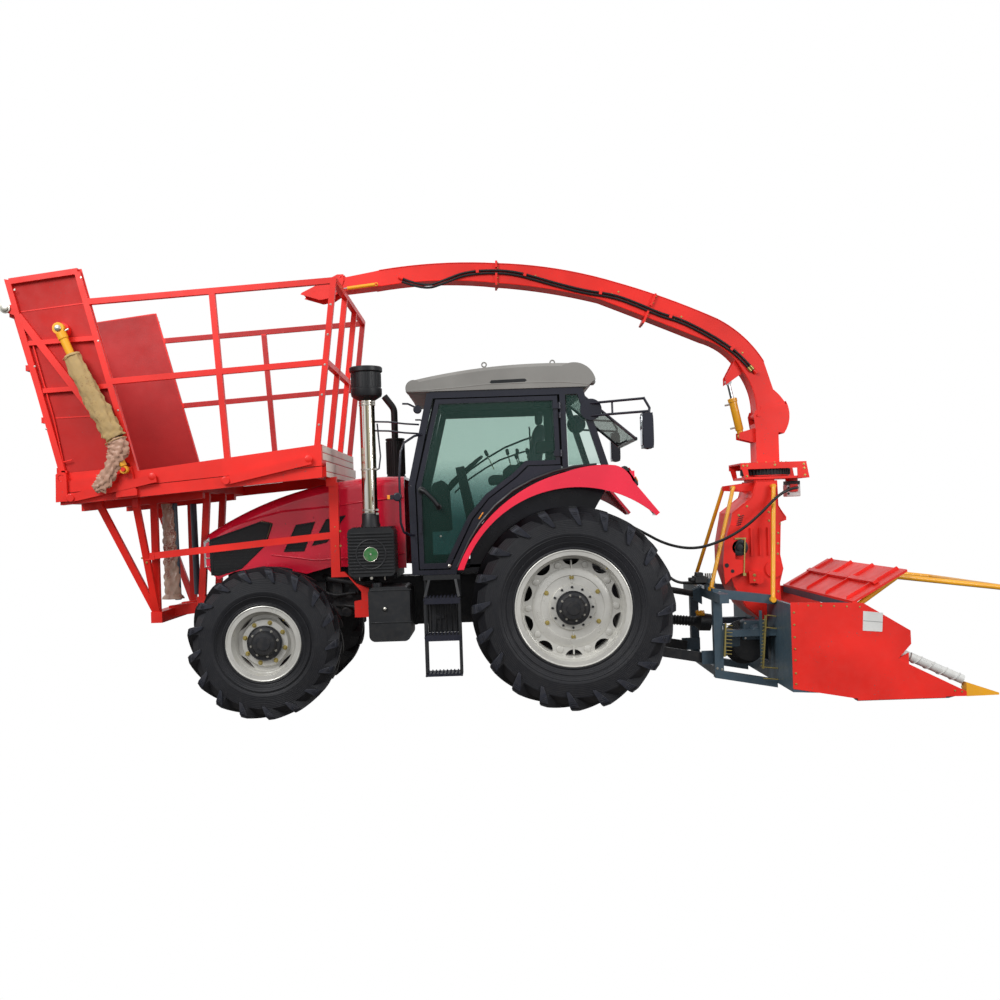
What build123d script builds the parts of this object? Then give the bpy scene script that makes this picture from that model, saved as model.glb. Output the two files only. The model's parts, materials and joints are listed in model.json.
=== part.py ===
"""Forage harvester: a farm tractor that works in reverse, with a row-independent header and chopper
on its rear and a tipping bin over its bonnet. Millimetres. X runs from the bin end to the header end,
-Y is the tractor's left, Z is up. Every piece is drawn about the rear axle, on the ground, and save()
moves it to the middle of the machine's box.
"""

import math
import os

from build123d import *

os.makedirs("parts", exist_ok=True)

# ---------------------------------------------------------------- driving dimensions
FRONT_END = -4780          # top front corner of the bin
REAR_END = 3880            # end of the push bar
HALF_WIDTH = 1100          # wheels, bin and header
MIDDLE_X = (FRONT_END + REAR_END) / 2

FRONT_AXLE_X = -2680
FRONT_RADIUS, FRONT_WIDTH, FRONT_BEAD, FRONT_TRACK_Y = 655, 378, 305, 860
REAR_RADIUS, REAR_WIDTH, REAR_BEAD, REAR_TRACK_Y = 875, 467, 483, 867
KINGPIN_Y = 640
TOW_X, TOW_BORE_R = -3288, 16.5
GAP = 6                    # between pieces that move past each other

BIN_PIVOT = (-4335, 2137)
GATE_HINGE = (-4752, 3595)
TIP_FOOT, TIP_EYE, TIP_CYL_Y = (-3775, 2188), (-4290, 3401), 1175

SLEW_X = 1950
HINGE_R = 285              # from the spout's hinge to the far edge of its mouth
SPOUT_HINGE = (1873, 2553)
LIFT_FOOT, LIFT_EYE = (1732, 2372), (1625, 2892)
FLAP_HINGE = (-2032, 4000)
FLAP_FOOT, FLAP_PIN, FLAP_CYL_Y = (-1690, 3905), (-2070, 3865), -150
SPOUT_HALF = 105           # half the width of the spout's duct


# ---------------------------------------------------------------- small helpers
def save(builder, name):
    """Labels a finished piece, sets it in the machine's frame and writes it."""
    piece = builder.part.moved(Location((-MIDDLE_X, 0, 0)))
    piece.label = name
    export_step(piece, f"parts/{name}.step")


def side(y=0.0):
    """The upright plane at that y, drawn in (X, Z). Extruding goes towards -Y."""
    return Plane(origin=(0, y, 0), x_dir=(1, 0, 0), z_dir=(0, -1, 0))


def slab(points, y_from, y_to):
    """A flat plate with that (X, Z) outline between two values of y."""
    with BuildSketch(side(max(y_from, y_to))) as outline:
        Polygon(*points, align=None)
    extrude(outline.sketch, amount=abs(y_from - y_to))


def block(low, high):
    """A plain box from its lowest to its highest corner."""
    middle = tuple((a + b) / 2 for a, b in zip(low, high))
    with Locations(middle):
        Box(*[b - a for a, b in zip(low, high)])


def bar(start, end, across, deep):
    """A square bar from point to point; across is its size along Y, or along X on a cross bar."""
    axis = Vector(*end) - Vector(*start)
    flat = Vector(1, 0, 0) if abs(axis.Y) > 0.8 * axis.length else Vector(0, 1, 0)
    with BuildSketch(Plane(origin=start, x_dir=flat, z_dir=axis)) as section:
        Rectangle(across, deep)
    extrude(section.sketch, amount=axis.length)


def rod(start, end, diameter):
    """A round bar from point to point."""
    axis = Vector(*end) - Vector(*start)
    with BuildSketch(Plane(origin=start, z_dir=axis)) as section:
        Circle(diameter / 2)
    extrude(section.sketch, amount=axis.length)


def bore(start, end, diameter):
    """A round hole from point to point."""
    axis = Vector(*end) - Vector(*start)
    with BuildSketch(Plane(origin=start, z_dir=axis)) as section:
        Circle(diameter / 2)
    extrude(section.sketch, amount=axis.length, mode=Mode.SUBTRACT)


def between(start, end, share):
    """The point that share of the way along in (X, Z)."""
    return tuple(a + (b - a) * share for a, b in zip(start, end))


def mirrored(builder):
    """The same piece on the machine's other side."""
    with BuildPart() as other:
        mirror(builder.part, about=Plane.XZ)
    return other


def both_sides(builder):
    """The piece and its mirror image, as one piece of two solids."""
    with BuildPart() as pair:
        add(builder.part)
        mirror(builder.part, about=Plane.XZ)
    return pair


def arc(centre, radius, start, end, steps=6):
    """Points on an arc about a point of (X, Z), in degrees up from +X."""
    turns = [math.radians(start + (end - start) * i / steps) for i in range(steps + 1)]
    return [(centre[0] + radius * math.cos(a), centre[1] + radius * math.sin(a)) for a in turns]


def trace(*runs):
    """A wire of lines (two points) and arcs (three points), each run starting where the last one ends."""
    start = runs[0][0]
    for run in runs:
        if len(run) == 2:
            Line(*run)
        else:
            ThreePointArc(*run)
    if runs[-1][-1] != start:
        Line(runs[-1][-1], start)


def save_pair(builder, name):
    """Writes a left piece and its mirror image."""
    save(builder, f"{name}_left")
    save(mirrored(builder), f"{name}_right")


# ---------------------------------------------------------------- wheels
def tyre(axle, radius, width, bead, lugs, lug_height, lug_width):
    """A lugged tyre: a carcass of revolution and two staggered rows of slanted bars."""
    half = width / 2
    tread = radius - lug_height
    wall = tread - bead
    # radius, distance from the middle of the tread
    carcass = [
        (bead, 0.80 * half),
        (bead + 24, 0.80 * half),
        (bead + 0.45 * wall, half),
        (bead + 0.80 * wall, 0.95 * half),
        (tread, 0.62 * half),
    ]
    outline = [(r, y) for r, y in carcass] + [(r, -y) for r, y in reversed(carcass)]
    inner, outer = 0.05 * half, 0.95 * half
    slant = 0.52 * half
    lug = [(-inner, slant), (outer, -slant), (outer, -slant - lug_width), (-inner, slant - lug_width)]
    with BuildPart() as bars:
        for row in (1, -1):
            turn = 0 if row > 0 else 180 / lugs
            for number in range(lugs):
                angle = math.radians(turn + number * 360 / lugs)
                out = Vector(math.cos(angle), 0, math.sin(angle))
                with BuildSketch(Plane(origin=out * (bead + 0.76 * wall), x_dir=(0, row, 0), z_dir=out)):
                    Polygon(*[(y, row * t) for y, t in lug], align=None)
                extrude(amount=radius)
        with BuildSketch(Plane.XZ.offset(-width)):
            Circle(radius)
        extrude(amount=2 * width, mode=Mode.INTERSECT)
    with BuildPart() as ring:
        with BuildSketch(Plane.XY):
            Polygon(*outline, align=None)
        revolve(axis=Axis.Y)
        add(bars.part)
    placed = ring.part.moved(Location(axle))
    with BuildPart() as result:
        add(placed)
    return result


def rim(axle, bead, width, hub_radius, hub_length, scallops, scallop_at, scallop_radius):
    """A wheel: barrel with flanges, a dished disc with a scalloped edge, and the hub; outside is -Y."""
    half = 0.8 * width / 2
    barrel = [
        (bead, half), (bead + 22, half), (bead + 22, half + 12), (bead - 26, half + 12),
        (bead - 60, 0.4 * half), (bead - 60, -0.4 * half),
        (bead - 26, -half - 12), (bead + 22, -half - 12), (bead + 22, -half), (bead, -half),
    ]
    with BuildPart() as wheel:
        with BuildSketch(Plane.XY):
            Polygon(*barrel, align=None)
        revolve(axis=Axis.Y)
        with BuildSketch(side(0)):
            Circle(bead - 80)
        extrude(amount=width, both=True, mode=Mode.SUBTRACT)
        with BuildSketch(side(-0.20 * half)):
            Circle(bead - 55)
            with PolarLocations(scallop_at, scallops, start_angle=180 / scallops):
                Circle(scallop_radius, mode=Mode.SUBTRACT)
        extrude(amount=16)
        with BuildSketch(side(60)):
            Circle(hub_radius)
        extrude(amount=60 + hub_length)
        with BuildSketch(side(-hub_length)):
            Circle(0.62 * hub_radius)
        extrude(amount=30)
    with BuildPart() as result:
        add(wheel.part.moved(Location(axle)))
    return result


REAR_AXLE = (0, -REAR_TRACK_Y, REAR_RADIUS)
FRONT_AXLE = (FRONT_AXLE_X, -FRONT_TRACK_Y, FRONT_RADIUS)

save_pair(tyre(REAR_AXLE, REAR_RADIUS, REAR_WIDTH, REAR_BEAD, 20, 42, 62), "tyre_rear")
save_pair(tyre(FRONT_AXLE, FRONT_RADIUS, FRONT_WIDTH, FRONT_BEAD, 17, 36, 54), "tyre_front")
save_pair(rim(REAR_AXLE, REAR_BEAD, REAR_WIDTH, 126, 150, 10, 448, 80), "rim_rear")
save_pair(rim(FRONT_AXLE, FRONT_BEAD, FRONT_WIDTH, 126, 120, 4, 520, 300), "rim_front")

# ---------------------------------------------------------------- driveline
with BuildPart() as engine_block:
    block((-2900, -200, 800), (-1600, 200, 1480))
save(engine_block, "engine_block")

with BuildPart() as transmission:
    slab([(-1600, 780), (-1600, 1150), (-700, 1150), (-380, 1190), (330, 1190), (330, 560),
          (-380, 560), (-700, 700), (-1400, 700)], 200, -200)
    block((-1600, -422, 1150), (-1560, 422, 1800))
    with BuildSketch(side(610)):
        with Locations((0, REAR_RADIUS)):
            Circle(120)
    extrude(amount=1220)
    with BuildSketch(side(420)):
        with Locations((0, REAR_RADIUS)):
            Circle(170)
    extrude(amount=840)
    with BuildSketch(side(REAR_TRACK_Y - 60)):
        with Locations((0, REAR_RADIUS)):
            Circle(70)
    extrude(amount=2 * (REAR_TRACK_Y - 60))
save(transmission, "transmission")

with BuildPart() as front_support:
    slab([(-3240, 760), (-3240, 1060), (-2900, 1120), (-2900, 800), (-2860, 760)], 170, -170)
    block((-3150, -250, 1050), (-3000, 250, 1260))
    block((-3150, -422, 1262), (-3000, 422, 1555))
    block((-2900, -100, 590), (-2820, 100, 800))
    block((-2540, -100, 590), (-2460, 100, 800))
    block((-3330, -50, 800), (-3240, 50, 880))
    bore((TOW_X, 0, 790), (TOW_X, 0, 890), 2 * TOW_BORE_R)
save(front_support, "front_support")

with BuildPart() as front_axle:
    block((-2820, -120, 560), (-2540, 120, 770))
    rod((FRONT_AXLE_X, -130, FRONT_RADIUS), (FRONT_AXLE_X, 130, FRONT_RADIUS), 280)
    rod((FRONT_AXLE_X, -KINGPIN_Y + 50, FRONT_RADIUS), (FRONT_AXLE_X, KINGPIN_Y - 50, FRONT_RADIUS), 130)
    for y in (-KINGPIN_Y, KINGPIN_Y):
        rod((FRONT_AXLE_X, y, FRONT_RADIUS - 70), (FRONT_AXLE_X, y, FRONT_RADIUS + 70), 140)
save(front_axle, "front_axle")

with BuildPart() as knuckle:
    y = -KINGPIN_Y
    for bottom in (FRONT_RADIUS - 70 - GAP - 30, FRONT_RADIUS + 70 + GAP):
        with BuildSketch(Plane.XY.offset(bottom)):
            with Locations((FRONT_AXLE_X, y)):
                Circle(62)
            with Locations((FRONT_AXLE_X, y - 52)):
                Rectangle(124, 104)
        extrude(amount=30)
    block((FRONT_AXLE_X - 62, y - 104, FRONT_RADIUS - 106), (FRONT_AXLE_X + 62, y - 80, FRONT_RADIUS + 106))
    rod((FRONT_AXLE_X, y - 100, FRONT_RADIUS), (FRONT_AXLE_X, y - 154, FRONT_RADIUS), 190)
    with BuildSketch(Plane.XY.offset(FRONT_RADIUS - 106)):
        Polygon((FRONT_AXLE_X, y - 45), (-2430, y + 60), (-2400, y + 100), (-2440, y + 120),
                (FRONT_AXLE_X, y + 45), align=None)
    extrude(amount=24)
save_pair(knuckle, "knuckle")

# ---------------------------------------------------------------- bonnet
HOOD_HALF = 440
GRILLE_SIDE = [(-3261, 1230), (-3270, 1557), (-2783, 1712), (-2678, 1682), (-2755, 1487), (-2976, 1282), (-3190, 1222)]
VENTS = [
    [(-2588, 1424), (-2470, 1668), (-2292, 1692), (-2401, 1424)],
    [(-2330, 1470), (-2192, 1710), (-2010, 1742), (-2190, 1500)],
]
HOOD_TOP = ((-3300, 1600), (-2640, 1915), (-1470, 2080))


with BuildPart() as hood:
    with BuildSketch(side(HOOD_HALF)):
        with BuildLine():
            trace(HOOD_TOP, ((-1470, 2080), (-1470, 1240)), ((-1470, 1240), (-2150, 1275)),
                  ((-2150, 1275), (-2390, 1216)), ((-2390, 1216), (-2720, 1275), (-3048, 1256)),
                  ((-3048, 1256), (-3200, 1190)), ((-3200, 1190), (-3300, 1300)))
        make_face()
    extrude(amount=2 * HOOD_HALF)
    top_edges = hood.edges().filter_by(lambda e: abs(e.center().Y) > HOOD_HALF - 1 and e.center().Z > 1780
                                       and e.length > 900)
    fillet(top_edges, 90)
    with BuildSketch(side(HOOD_HALF - 90)):
        Polygon((-3278, 1100), (-3278, 1590), (-2990, 1740), (-2640, 1890), (-2100, 1990), (-1450, 2058),
                (-1450, 1100), align=None)
    extrude(amount=2 * (HOOD_HALF - 90), mode=Mode.SUBTRACT)
    with BuildSketch(side(HOOD_HALF - 18)):
        Polygon((-3278, 1100), (-3278, 1510), (-2990, 1655), (-2640, 1800), (-2100, 1905), (-1450, 1972),
                (-1450, 1100), align=None)
    extrude(amount=2 * (HOOD_HALF - 18), mode=Mode.SUBTRACT)
    with BuildSketch(side(HOOD_HALF + 20)):
        for outline in [GRILLE_SIDE] + VENTS:
            Polygon(*outline, align=None)
    extrude(amount=2 * HOOD_HALF + 40, mode=Mode.SUBTRACT)
    with Locations((-3300, 0, 1430)):
        Box(120, 600, 300, mode=Mode.SUBTRACT)
save(hood, "hood")

with BuildPart() as hood_grilles:
    for y_from, y_to in ((HOOD_HALF - 6, HOOD_HALF - 18), (18 - HOOD_HALF, 6 - HOOD_HALF)):
        for outline in [GRILLE_SIDE] + VENTS:
            slab(outline, y_from, y_to)
    block((-3272, -300, 1280), (-3256, 300, 1580))
save(hood_grilles, "hood_grilles")

# ---------------------------------------------------------------- cab
CAB_HALF = 790
POST = 60
CAB_FLOOR_Z = 1230
A_POST = [(-1365, CAB_FLOOR_Z), (-1375, 1980), (-1184, 2790)]
B_TOP, B_BOTTOM = (-20, 2790), (-10, 2060)
C_TOP, C_BOTTOM = (132, 2790), (360, 2040)
FENDER_OUT = [(-990, 1237), (-877, 1526), (-609, 1835), (-329, 1998), (-42, 2083), (277, 2110), (431, 2097),
              (551, 1968), (752, 1682)]
FENDER_IN = [(735, 1650), (482, 1833), (166, 1895), (-160, 1906), (-481, 1805), (-790, 1566), (-945, 1237)]
FENDER_SKIN = 22
DOOR = [(-1325, 1240), (-1332, 1980), (-1140, 2735), (-65, 2735), (-54, 2128), (-345, 2128), (-450, 2030),
        (-700, 1850), (-850, 1675), (-1070, 1240)]
GLASS = 6

with BuildPart() as cab_frame:
    block((-1395, -CAB_HALF, 1190), (-1000, CAB_HALF, CAB_FLOOR_Z))
    block((-1000, -620, 1190), (180, 620, CAB_FLOOR_Z))
    block((150, -620, 1190), (180, 620, 1640))
    block((-1395, -CAB_HALF + POST, CAB_FLOOR_Z), (-1375, CAB_HALF - POST, 1960))
    for sign in (-1, 1):
        y = sign * (CAB_HALF - POST / 2)
        for start, end in zip(A_POST, A_POST[1:]):
            bar((start[0], y, start[1]), (end[0], y, end[1]), POST, POST)
        bar((B_TOP[0], y, B_TOP[1]), (B_BOTTOM[0], y, B_BOTTOM[1]), POST, 50)
        bar((C_TOP[0], y, C_TOP[1]), (C_BOTTOM[0], y, C_BOTTOM[1]), POST, POST)
        bar((A_POST[2][0], y, 2775), (C_TOP[0], y, 2775), POST, POST)
        slab([(-890, 1190), (-870, 1500), (-600, 1820), (-320, 1980), (-42, 2070), (360, 2095), (360, 1900),
              (180, 1600), (180, 1190)], sign * 600, sign * 620)
        slab([(-990, 1237)] + FENDER_OUT[1:7] + [(x, z - FENDER_SKIN) for x, z in reversed(FENDER_OUT[1:7])]
             + [(-965, 1237)], sign * 600, sign * 830)
        slab([(-1060, 1232), (-840, 1668), (-692, 1843), (-442, 2022), (-337, 2118), (-45, 2118), (-42, 2070)]
             + [(x, z - 4) for x, z in reversed(FENDER_OUT[1:4])] + [(-985, 1232)],
             sign * (CAB_HALF - 20), sign * CAB_HALF)
    for x, z in ((-1160, 2775), (110, 2775)):
        bar((x, -CAB_HALF, z), (x, CAB_HALF, z), POST, POST)
    bar((345, -620, 2070), (345, 620, 2070), POST, POST)
    block((180, -330, 1540), (300, -90, 1680))
save(cab_frame, "cab_frame")

with BuildPart() as cab_roof:
    with BuildSketch(side(CAB_HALF + 15)):
        with BuildLine():
            trace(((-1395, 2812), (-1388, 2880), (-1330, 2912)), ((-1330, 2912), (-600, 3012), (60, 3020)),
                  ((60, 3020), (215, 2975), (279, 2868)), ((279, 2868), (200, 2806)), ((200, 2806), (-1370, 2806)))
        make_face()
    extrude(amount=2 * CAB_HALF + 30)
    rim_edges = cab_roof.edges().filter_by(lambda e: abs(e.center().Y) > CAB_HALF and e.length > 1300
                                           and e.center().Z > 2900)
    chamfer(rim_edges, 30)
    for x in (-700, -90):
        with BuildSketch(side(-CAB_HALF + 120)):
            with Locations((x, 3042)):
                Circle(26)
                Circle(14, mode=Mode.SUBTRACT)
        extrude(amount=8)
    for y in (-560, 560):
        block((-1405, y - 90, 2822), (-1380, y + 90, 2872))
        block((262, y - 90, 2850), (290, y + 90, 2900))
save(cab_roof, "cab_roof")

with BuildPart() as cab_glass:
    bar((-1372, 0, 1965), (-1187, 0, 2740), 2 * (CAB_HALF - POST) - 10, GLASS)
    for y in (-CAB_HALF + 20, CAB_HALF - 20 - GLASS):
        slab([(20, 2120), (302, 2120), (115, 2738), (12, 2738)], y, y + GLASS)
    bar((150, 0, 2770), (640, 0, 2345), 1240, GLASS)
    bar((645, -620, 2340), (645, 620, 2340), 24, 24)
save(cab_glass, "cab_glass")

DOOR_WINDOW = [(-1285, 1290), (-1290, 1975), (-1110, 2695), (-105, 2695), (-95, 2168), (-362, 2168),
               (-470, 2066), (-728, 1880), (-885, 1697), (-1095, 1290)]
with BuildPart() as door:
    with BuildSketch(side(-CAB_HALF + 36)):
        Polygon(*DOOR, align=None)
        Polygon(*DOOR_WINDOW, align=None, mode=Mode.SUBTRACT)
    extrude(amount=32)
    block((-1320, -CAB_HALF - 24, 1560), (-1295, -CAB_HALF + 6, 1700))
    for z in (2200, 2620):
        block((-110, -CAB_HALF - 14, z), (-56, -CAB_HALF + 6, z + 50))
        rod((-48, -CAB_HALF - 16, z - 5), (-48, -CAB_HALF - 16, z + 55), 22)
save_pair(door, "door")

with BuildPart() as door_glass:
    slab(DOOR_WINDOW, -CAB_HALF + 24, -CAB_HALF + 24 - GLASS)
save_pair(door_glass, "door_glass")

with BuildPart() as driver_station:
    block((-900, -240, 1500), (-440, 240, 1600))
    slab([(-900, 1600), (-1000, 2150), (-920, 2165), (-800, 1600)], 230, -230)
    block((-780, -160, CAB_FLOOR_Z), (-560, 160, 1500))
    slab([(-180, CAB_FLOOR_Z), (-150, 1700), (-90, 1840), (40, 1840), (60, CAB_FLOOR_Z)], 200, -200)
    with BuildSketch(Plane(origin=(-190, 0, 1880), z_dir=(-0.6, 0, 0.8))):
        Circle(190)
        Circle(160, mode=Mode.SUBTRACT)
        Rectangle(40, 340)
    extrude(amount=26)
    rod((-190, 0, 1880), (-90, 0, 1750), 50)
save(driver_station, "driver_station")

# ---------------------------------------------------------------- fenders, tanks, steps, stacks
with BuildPart() as fender:
    with BuildSketch(side(-830)):
        with BuildLine():
            trace(((-984, 1239), (-560, 1800), (-38, 2045)), ((-38, 2045), (180, 2092), (392, 2092)),
                  ((392, 2092), (480, 2045), (537, 1959)), ((537, 1959), (763, 1674)), ((763, 1674), (735, 1650)),
                  ((735, 1650), (-100, 1905), (-930, 1239)))
        make_face()
    extrude(amount=260)
    with BuildSketch(side(-800)):
        with BuildLine():
            trace(((-960, 1200), (-540, 1775), (-30, 2022)), ((-30, 2022), (180, 2069), (380, 2068)),
                  ((380, 2068), (462, 2025), (517, 1944)), ((517, 1944), (738, 1664)), ((738, 1664), (700, 1500)),
                  ((700, 1500), (-900, 1100)))
        make_face()
    extrude(amount=268, mode=Mode.SUBTRACT)
    with BuildSketch(side(-1068)):
        with BuildLine():
            trace(((-984, 1239), (-560, 1800), (-38, 2045)), ((-38, 2045), (180, 2092), (392, 2092)),
                  ((392, 2092), (480, 2045), (537, 1959)), ((537, 1959), (763, 1674)), ((763, 1674), (735, 1650)),
                  ((735, 1650), (-100, 1905), (-930, 1239)))
        make_face()
    extrude(amount=22)
    block((470, -1060, 1900), (560, -860, 2040))
save(both_sides(fender), "fenders")

with BuildPart() as side_tank:
    block((-1773, -950, 630), (-1411, -420, 1105))
    fillet(side_tank.edges().filter_by(Axis.Y), 55)
    block((-1700, -470, 900), (-1480, -200, 1000))
save(both_sides(side_tank), "side_tanks")

with BuildPart() as steps:
    for z in (1000, 680, 345):
        block((-1289, -1020, z - 22), (-970, -800, z))
    for x in (-1289, -992):
        block((x, -1020, 323), (x + 22, -985, 1000))
        block((x, -830, 323), (x + 22, -800, 1160))
    for low, high in (((-1278, -1002, 1000), (-1235, -900, 1175)), ((-981, -1002, 1000), (-1015, -900, 1175))):
        bar(low, high, 30, 22)
    block((-1289, -930, 1150), (-970, -560, 1189))
save(steps, "steps")

with BuildPart() as filter_box:
    block((-1935, -950, 1200), (-1533, -590, 1622))
    fillet(filter_box.edges().filter_by(Axis.Y), 40)
    block((-1800, -600, 1380), (-1660, -HOOD_HALF, 1460))
save(filter_box, "filter_box")
with BuildPart() as intake_stack:
    rod((-1750, -750, 1622), (-1750, -750, 2760), 135)
    with BuildSketch(Plane(origin=(-1750, -750, 0), x_dir=(1, 0, 0), z_dir=(0, -1, 0))):
        Polygon((0, 2755), (75, 2755), (126, 2800), (126, 2930), (100, 3010), (40, 3045), (0, 3047), align=None)
    revolve(axis=Axis((-1750, -750, 0), (0, 0, 1)))
save(intake_stack, "intake_stack")
EXHAUST_X = -1625
with BuildPart() as exhaust_stack:
    rod((EXHAUST_X, 600, 1650), (EXHAUST_X, 600, 2100), 90)
    rod((EXHAUST_X, 600, 2100), (EXHAUST_X, 600, 2500), 180)
    with BuildLine() as pipe_line:
        FilletPolyline((EXHAUST_X, 600, 2500), (EXHAUST_X, 600, 2800), (EXHAUST_X - 95, 600, 2930), radius=120)
    with BuildSketch(Plane(origin=pipe_line.line @ 0, z_dir=pipe_line.line % 0)):
        Circle(34)
    sweep(path=pipe_line.line)
    bar((EXHAUST_X, HOOD_HALF, 1700), (EXHAUST_X, 640, 1700), 90, 60)
save(exhaust_stack, "exhaust_stack")

MIRROR_Y = 1250
with BuildPart() as mirrors:
    for sign in (-1, 1):
        arm_y = sign * (MIRROR_Y - 75)
        for z, end_x in ((2655, 650), (2545, 690)):
            rod((215, sign * (CAB_HALF + 12), z), (end_x, arm_y, z - 8), 22)
        rod((400, sign * (CAB_HALF + 164), 2660), (400, sign * (CAB_HALF + 165), 2540), 18)
        rod((640, arm_y, 2656), (692, arm_y, 2560), 22)
        rod((690, arm_y, 2566), (680, arm_y, 2480), 22)
        bar((662, sign * (MIRROR_Y - 150), 2370), (662, sign * MIRROR_Y, 2370), 85, 296)
        rod((228, sign * CAB_HALF, 2600), (228, sign * (CAB_HALF + 30), 2600), 190)
save(mirrors, "mirrors")

with BuildPart() as hitch_links:
    for sign in (-1, 1):
        bar((180, sign * 420, 520), (1230, sign * 475, 330), 40, 90)
        block((120, min(sign * 200, sign * 440), 480), (220, max(sign * 200, sign * 440), 560))
        rod((270, sign * 200, 1110), (270, sign * 440, 1110), 90)
        bar((270, sign * 415, 1110), (480, sign * 415, 1070), 40, 70)
        rod((465, sign * 415, 1070), (530, sign * 438, 465), 44)
    block((330, -40, 1010), (365, 40, 1110))
    rod((350, 0, 1060), (1240, 0, 880), 60)
    block((1215, -30, 845), (1285, 30, 905))
save(hitch_links, "hitch_links")

# ---------------------------------------------------------------- bin support
TOWER_X = -3710
LEDGE = 52                 # how far the deck's two ledges stand below its longitudinals


def on_base(x, up):
    """A point on the bin's base, which slopes down to the front: up is measured from the deck's underside."""
    return (x, 2069 + (x + 2115) * (2069 - 1905) / 2245 + up)


def stub(x_from, x_to, low, up, y_from, y_to):
    """The upper end of a leg, cut to the slope of what it carries."""
    slab([(x_from, low), (x_to, low), on_base(x_to, up), on_base(x_from, up)], y_from, y_to)


with BuildPart() as bin_support:
    for y in (-600, 600):
        stub(TOWER_X - 30, TOWER_X + 30, 840, -LEDGE, y - 28, y + 28)
        for top_x, spread in ((-4110, 1.4), (-3775, 1.5)):
            bar((top_x, y * spread, 1895), (TOWER_X, y, 900), 50, 56)
            stub(top_x - 25, top_x + 25, 1870, 8, y * spread - 30, y * spread + 30)
        bar((-3310, y * 0.5, 1960), (-3385, y * 0.5, 990), 60, 60)
        stub(-3338, -3282, 1930, 8, y * 0.5 - 30, y * 0.5 + 30)
    bar((TOWER_X, -640, 880), (TOWER_X, 640, 880), 100, 100)
    for y in (-210, 210):
        bar((TOWER_X, y, 900), (-3100, y, 960), 80, 100)
    bar((-3385, -340, 990), (-3385, 340, 990), 80, 80)
    for y in (-750, 750):
        bar((TOWER_X - 30, y, 1432), (-2070, y, 1568), 50, 60)
        bar((-2070, y, 1195), (-2070, y, 2030), 60, 80)
        stub(-2130, -2040, 2000, 8, y - 40, y + 40)
        slab([(-2100, 1195), (-2100, 1240), (-1995, 1240), (-1890, 1130), (-1784, 1085), (-1780, 834),
              (-1914, 834), (-1914, 975), (-1850, 985), (-1850, 1060), (-1960, 1195)], y - 30, y + 30)
        bar((-1860, y, 900), (-1860, y * 0.2667, 900), 80, 110)
    for y in (-1, 1):
        block((TOWER_X - 40, min(y * 600, y * 780), 1400), (TOWER_X + 40, max(y * 600, y * 780), 1460))
save(bin_support, "bin_support")

# ---------------------------------------------------------------- bin deck and folded lift arms
DECK_TOP = 95
BASE_LOW, BASE_FRONT, BASE_REAR = DECK_TOP + GAP, 200, 285


def floor_top(x):
    """Height of the bin floor's rim, which rises to the rear."""
    front, rear = on_base(-4345, BASE_FRONT)[1], on_base(-2115, BASE_REAR)[1]
    return front + (x + 4345) / 2230 * (rear - front)


with BuildPart() as bin_deck:
    for y_from, y_to in ((1090, 1010), (-1010, -1090)):
        slab([on_base(-4360, 0), on_base(-2115, 0), on_base(-2115, DECK_TOP), on_base(-4360, DECK_TOP)],
             y_from, y_to)
    for y in (-600, 600):
        slab([on_base(-4350, -LEDGE), on_base(-3260, -LEDGE), on_base(-3260, 20), on_base(-4350, 20)],
             y + 40, y - 40)
    for x in (-4310, -4110, -3775, -3300, -2165, -2130):
        slab([on_base(x - 40, 8), on_base(x + 40, 8), on_base(x + 40, DECK_TOP), on_base(x - 40, DECK_TOP)],
             1010, -1010)
    for sign in (-1, 1):
        y_from, y_to = sign * 1096, sign * 1130
        for low, high in (((-4253, 1963), (-3526, 2109)), ((-2927, 2067), (-2204, 2218))):
            bar((low[0], sign * 1120, low[1]), (high[0], sign * 1120, high[1]), 24, 70)
            rod((low[0], sign * 1085, low[1]), (low[0], sign * 1145, low[1]), 60)
        slab([(-3870, 1955), (-3690, 1968), (-3690, 2020), (-3870, 2010)], sign * 1085, sign * 1128)
        slab([(-3865, 1985), (-3695, 1995), (-3735, 2215), (-3815, 2215)], sign * 1096, sign * 1128)
        rod((TIP_FOOT[0], sign * 1110, TIP_FOOT[1]), (TIP_FOOT[0], sign * (TIP_CYL_Y + 40), TIP_FOOT[1]), 36)
    for sign in (-1, 1):
        slab([(-4385, 1930), (-4285, 1940), (-4290, 2165), (-4310, 2185), (-4360, 2185), (-4380, 2165)],
             sign * 1102, sign * 1125)
        bore((BIN_PIVOT[0], sign * 1090, BIN_PIVOT[1]), (BIN_PIVOT[0], sign * 1140, BIN_PIVOT[1]), 54)
        block((-4385, min(sign * 1085, sign * 1125), 1935), (-4285, max(sign * 1085, sign * 1125), 1975))
save(bin_deck, "bin_deck")

# ---------------------------------------------------------------- bin
BIN_HALF = 1090
with BuildPart() as bin_floor:
    slab([on_base(-4345, BASE_LOW), on_base(-2115, BASE_LOW), (-2115, floor_top(-2115)),
          (-4345, floor_top(-4345))], BIN_HALF, -BIN_HALF)
    with BuildSketch(side(BIN_HALF - 60)):
        Polygon(on_base(-4200, BASE_LOW + 40), on_base(-2180, BASE_LOW + 40), on_base(-2180, 400),
                on_base(-4200, 400), align=None)
    extrude(amount=2 * BIN_HALF - 120, mode=Mode.SUBTRACT)
save(bin_floor, "bin_floor")

SHEET = [(-4345, floor_top(-4345)), (FRONT_END, 3855), (-4130, 3930), (-3690, floor_top(-3690))]
TOP_FRONT, TOP_REAR = (-4075, 3640), (-1945, 3755)
MID_FRONT, MID_REAR = (-3895, 2951), (-2040, 3059)
TUBE = 50


def post(top_x, top_z, foot_x, y_from, y_to):
    """A square post that stands on the floor's rim."""
    half = TUBE / 2
    slab([(top_x - half, top_z), (top_x + half, top_z), (foot_x + half, floor_top(foot_x + half)),
          (foot_x - half, floor_top(foot_x - half))], y_from, y_to)


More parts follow.
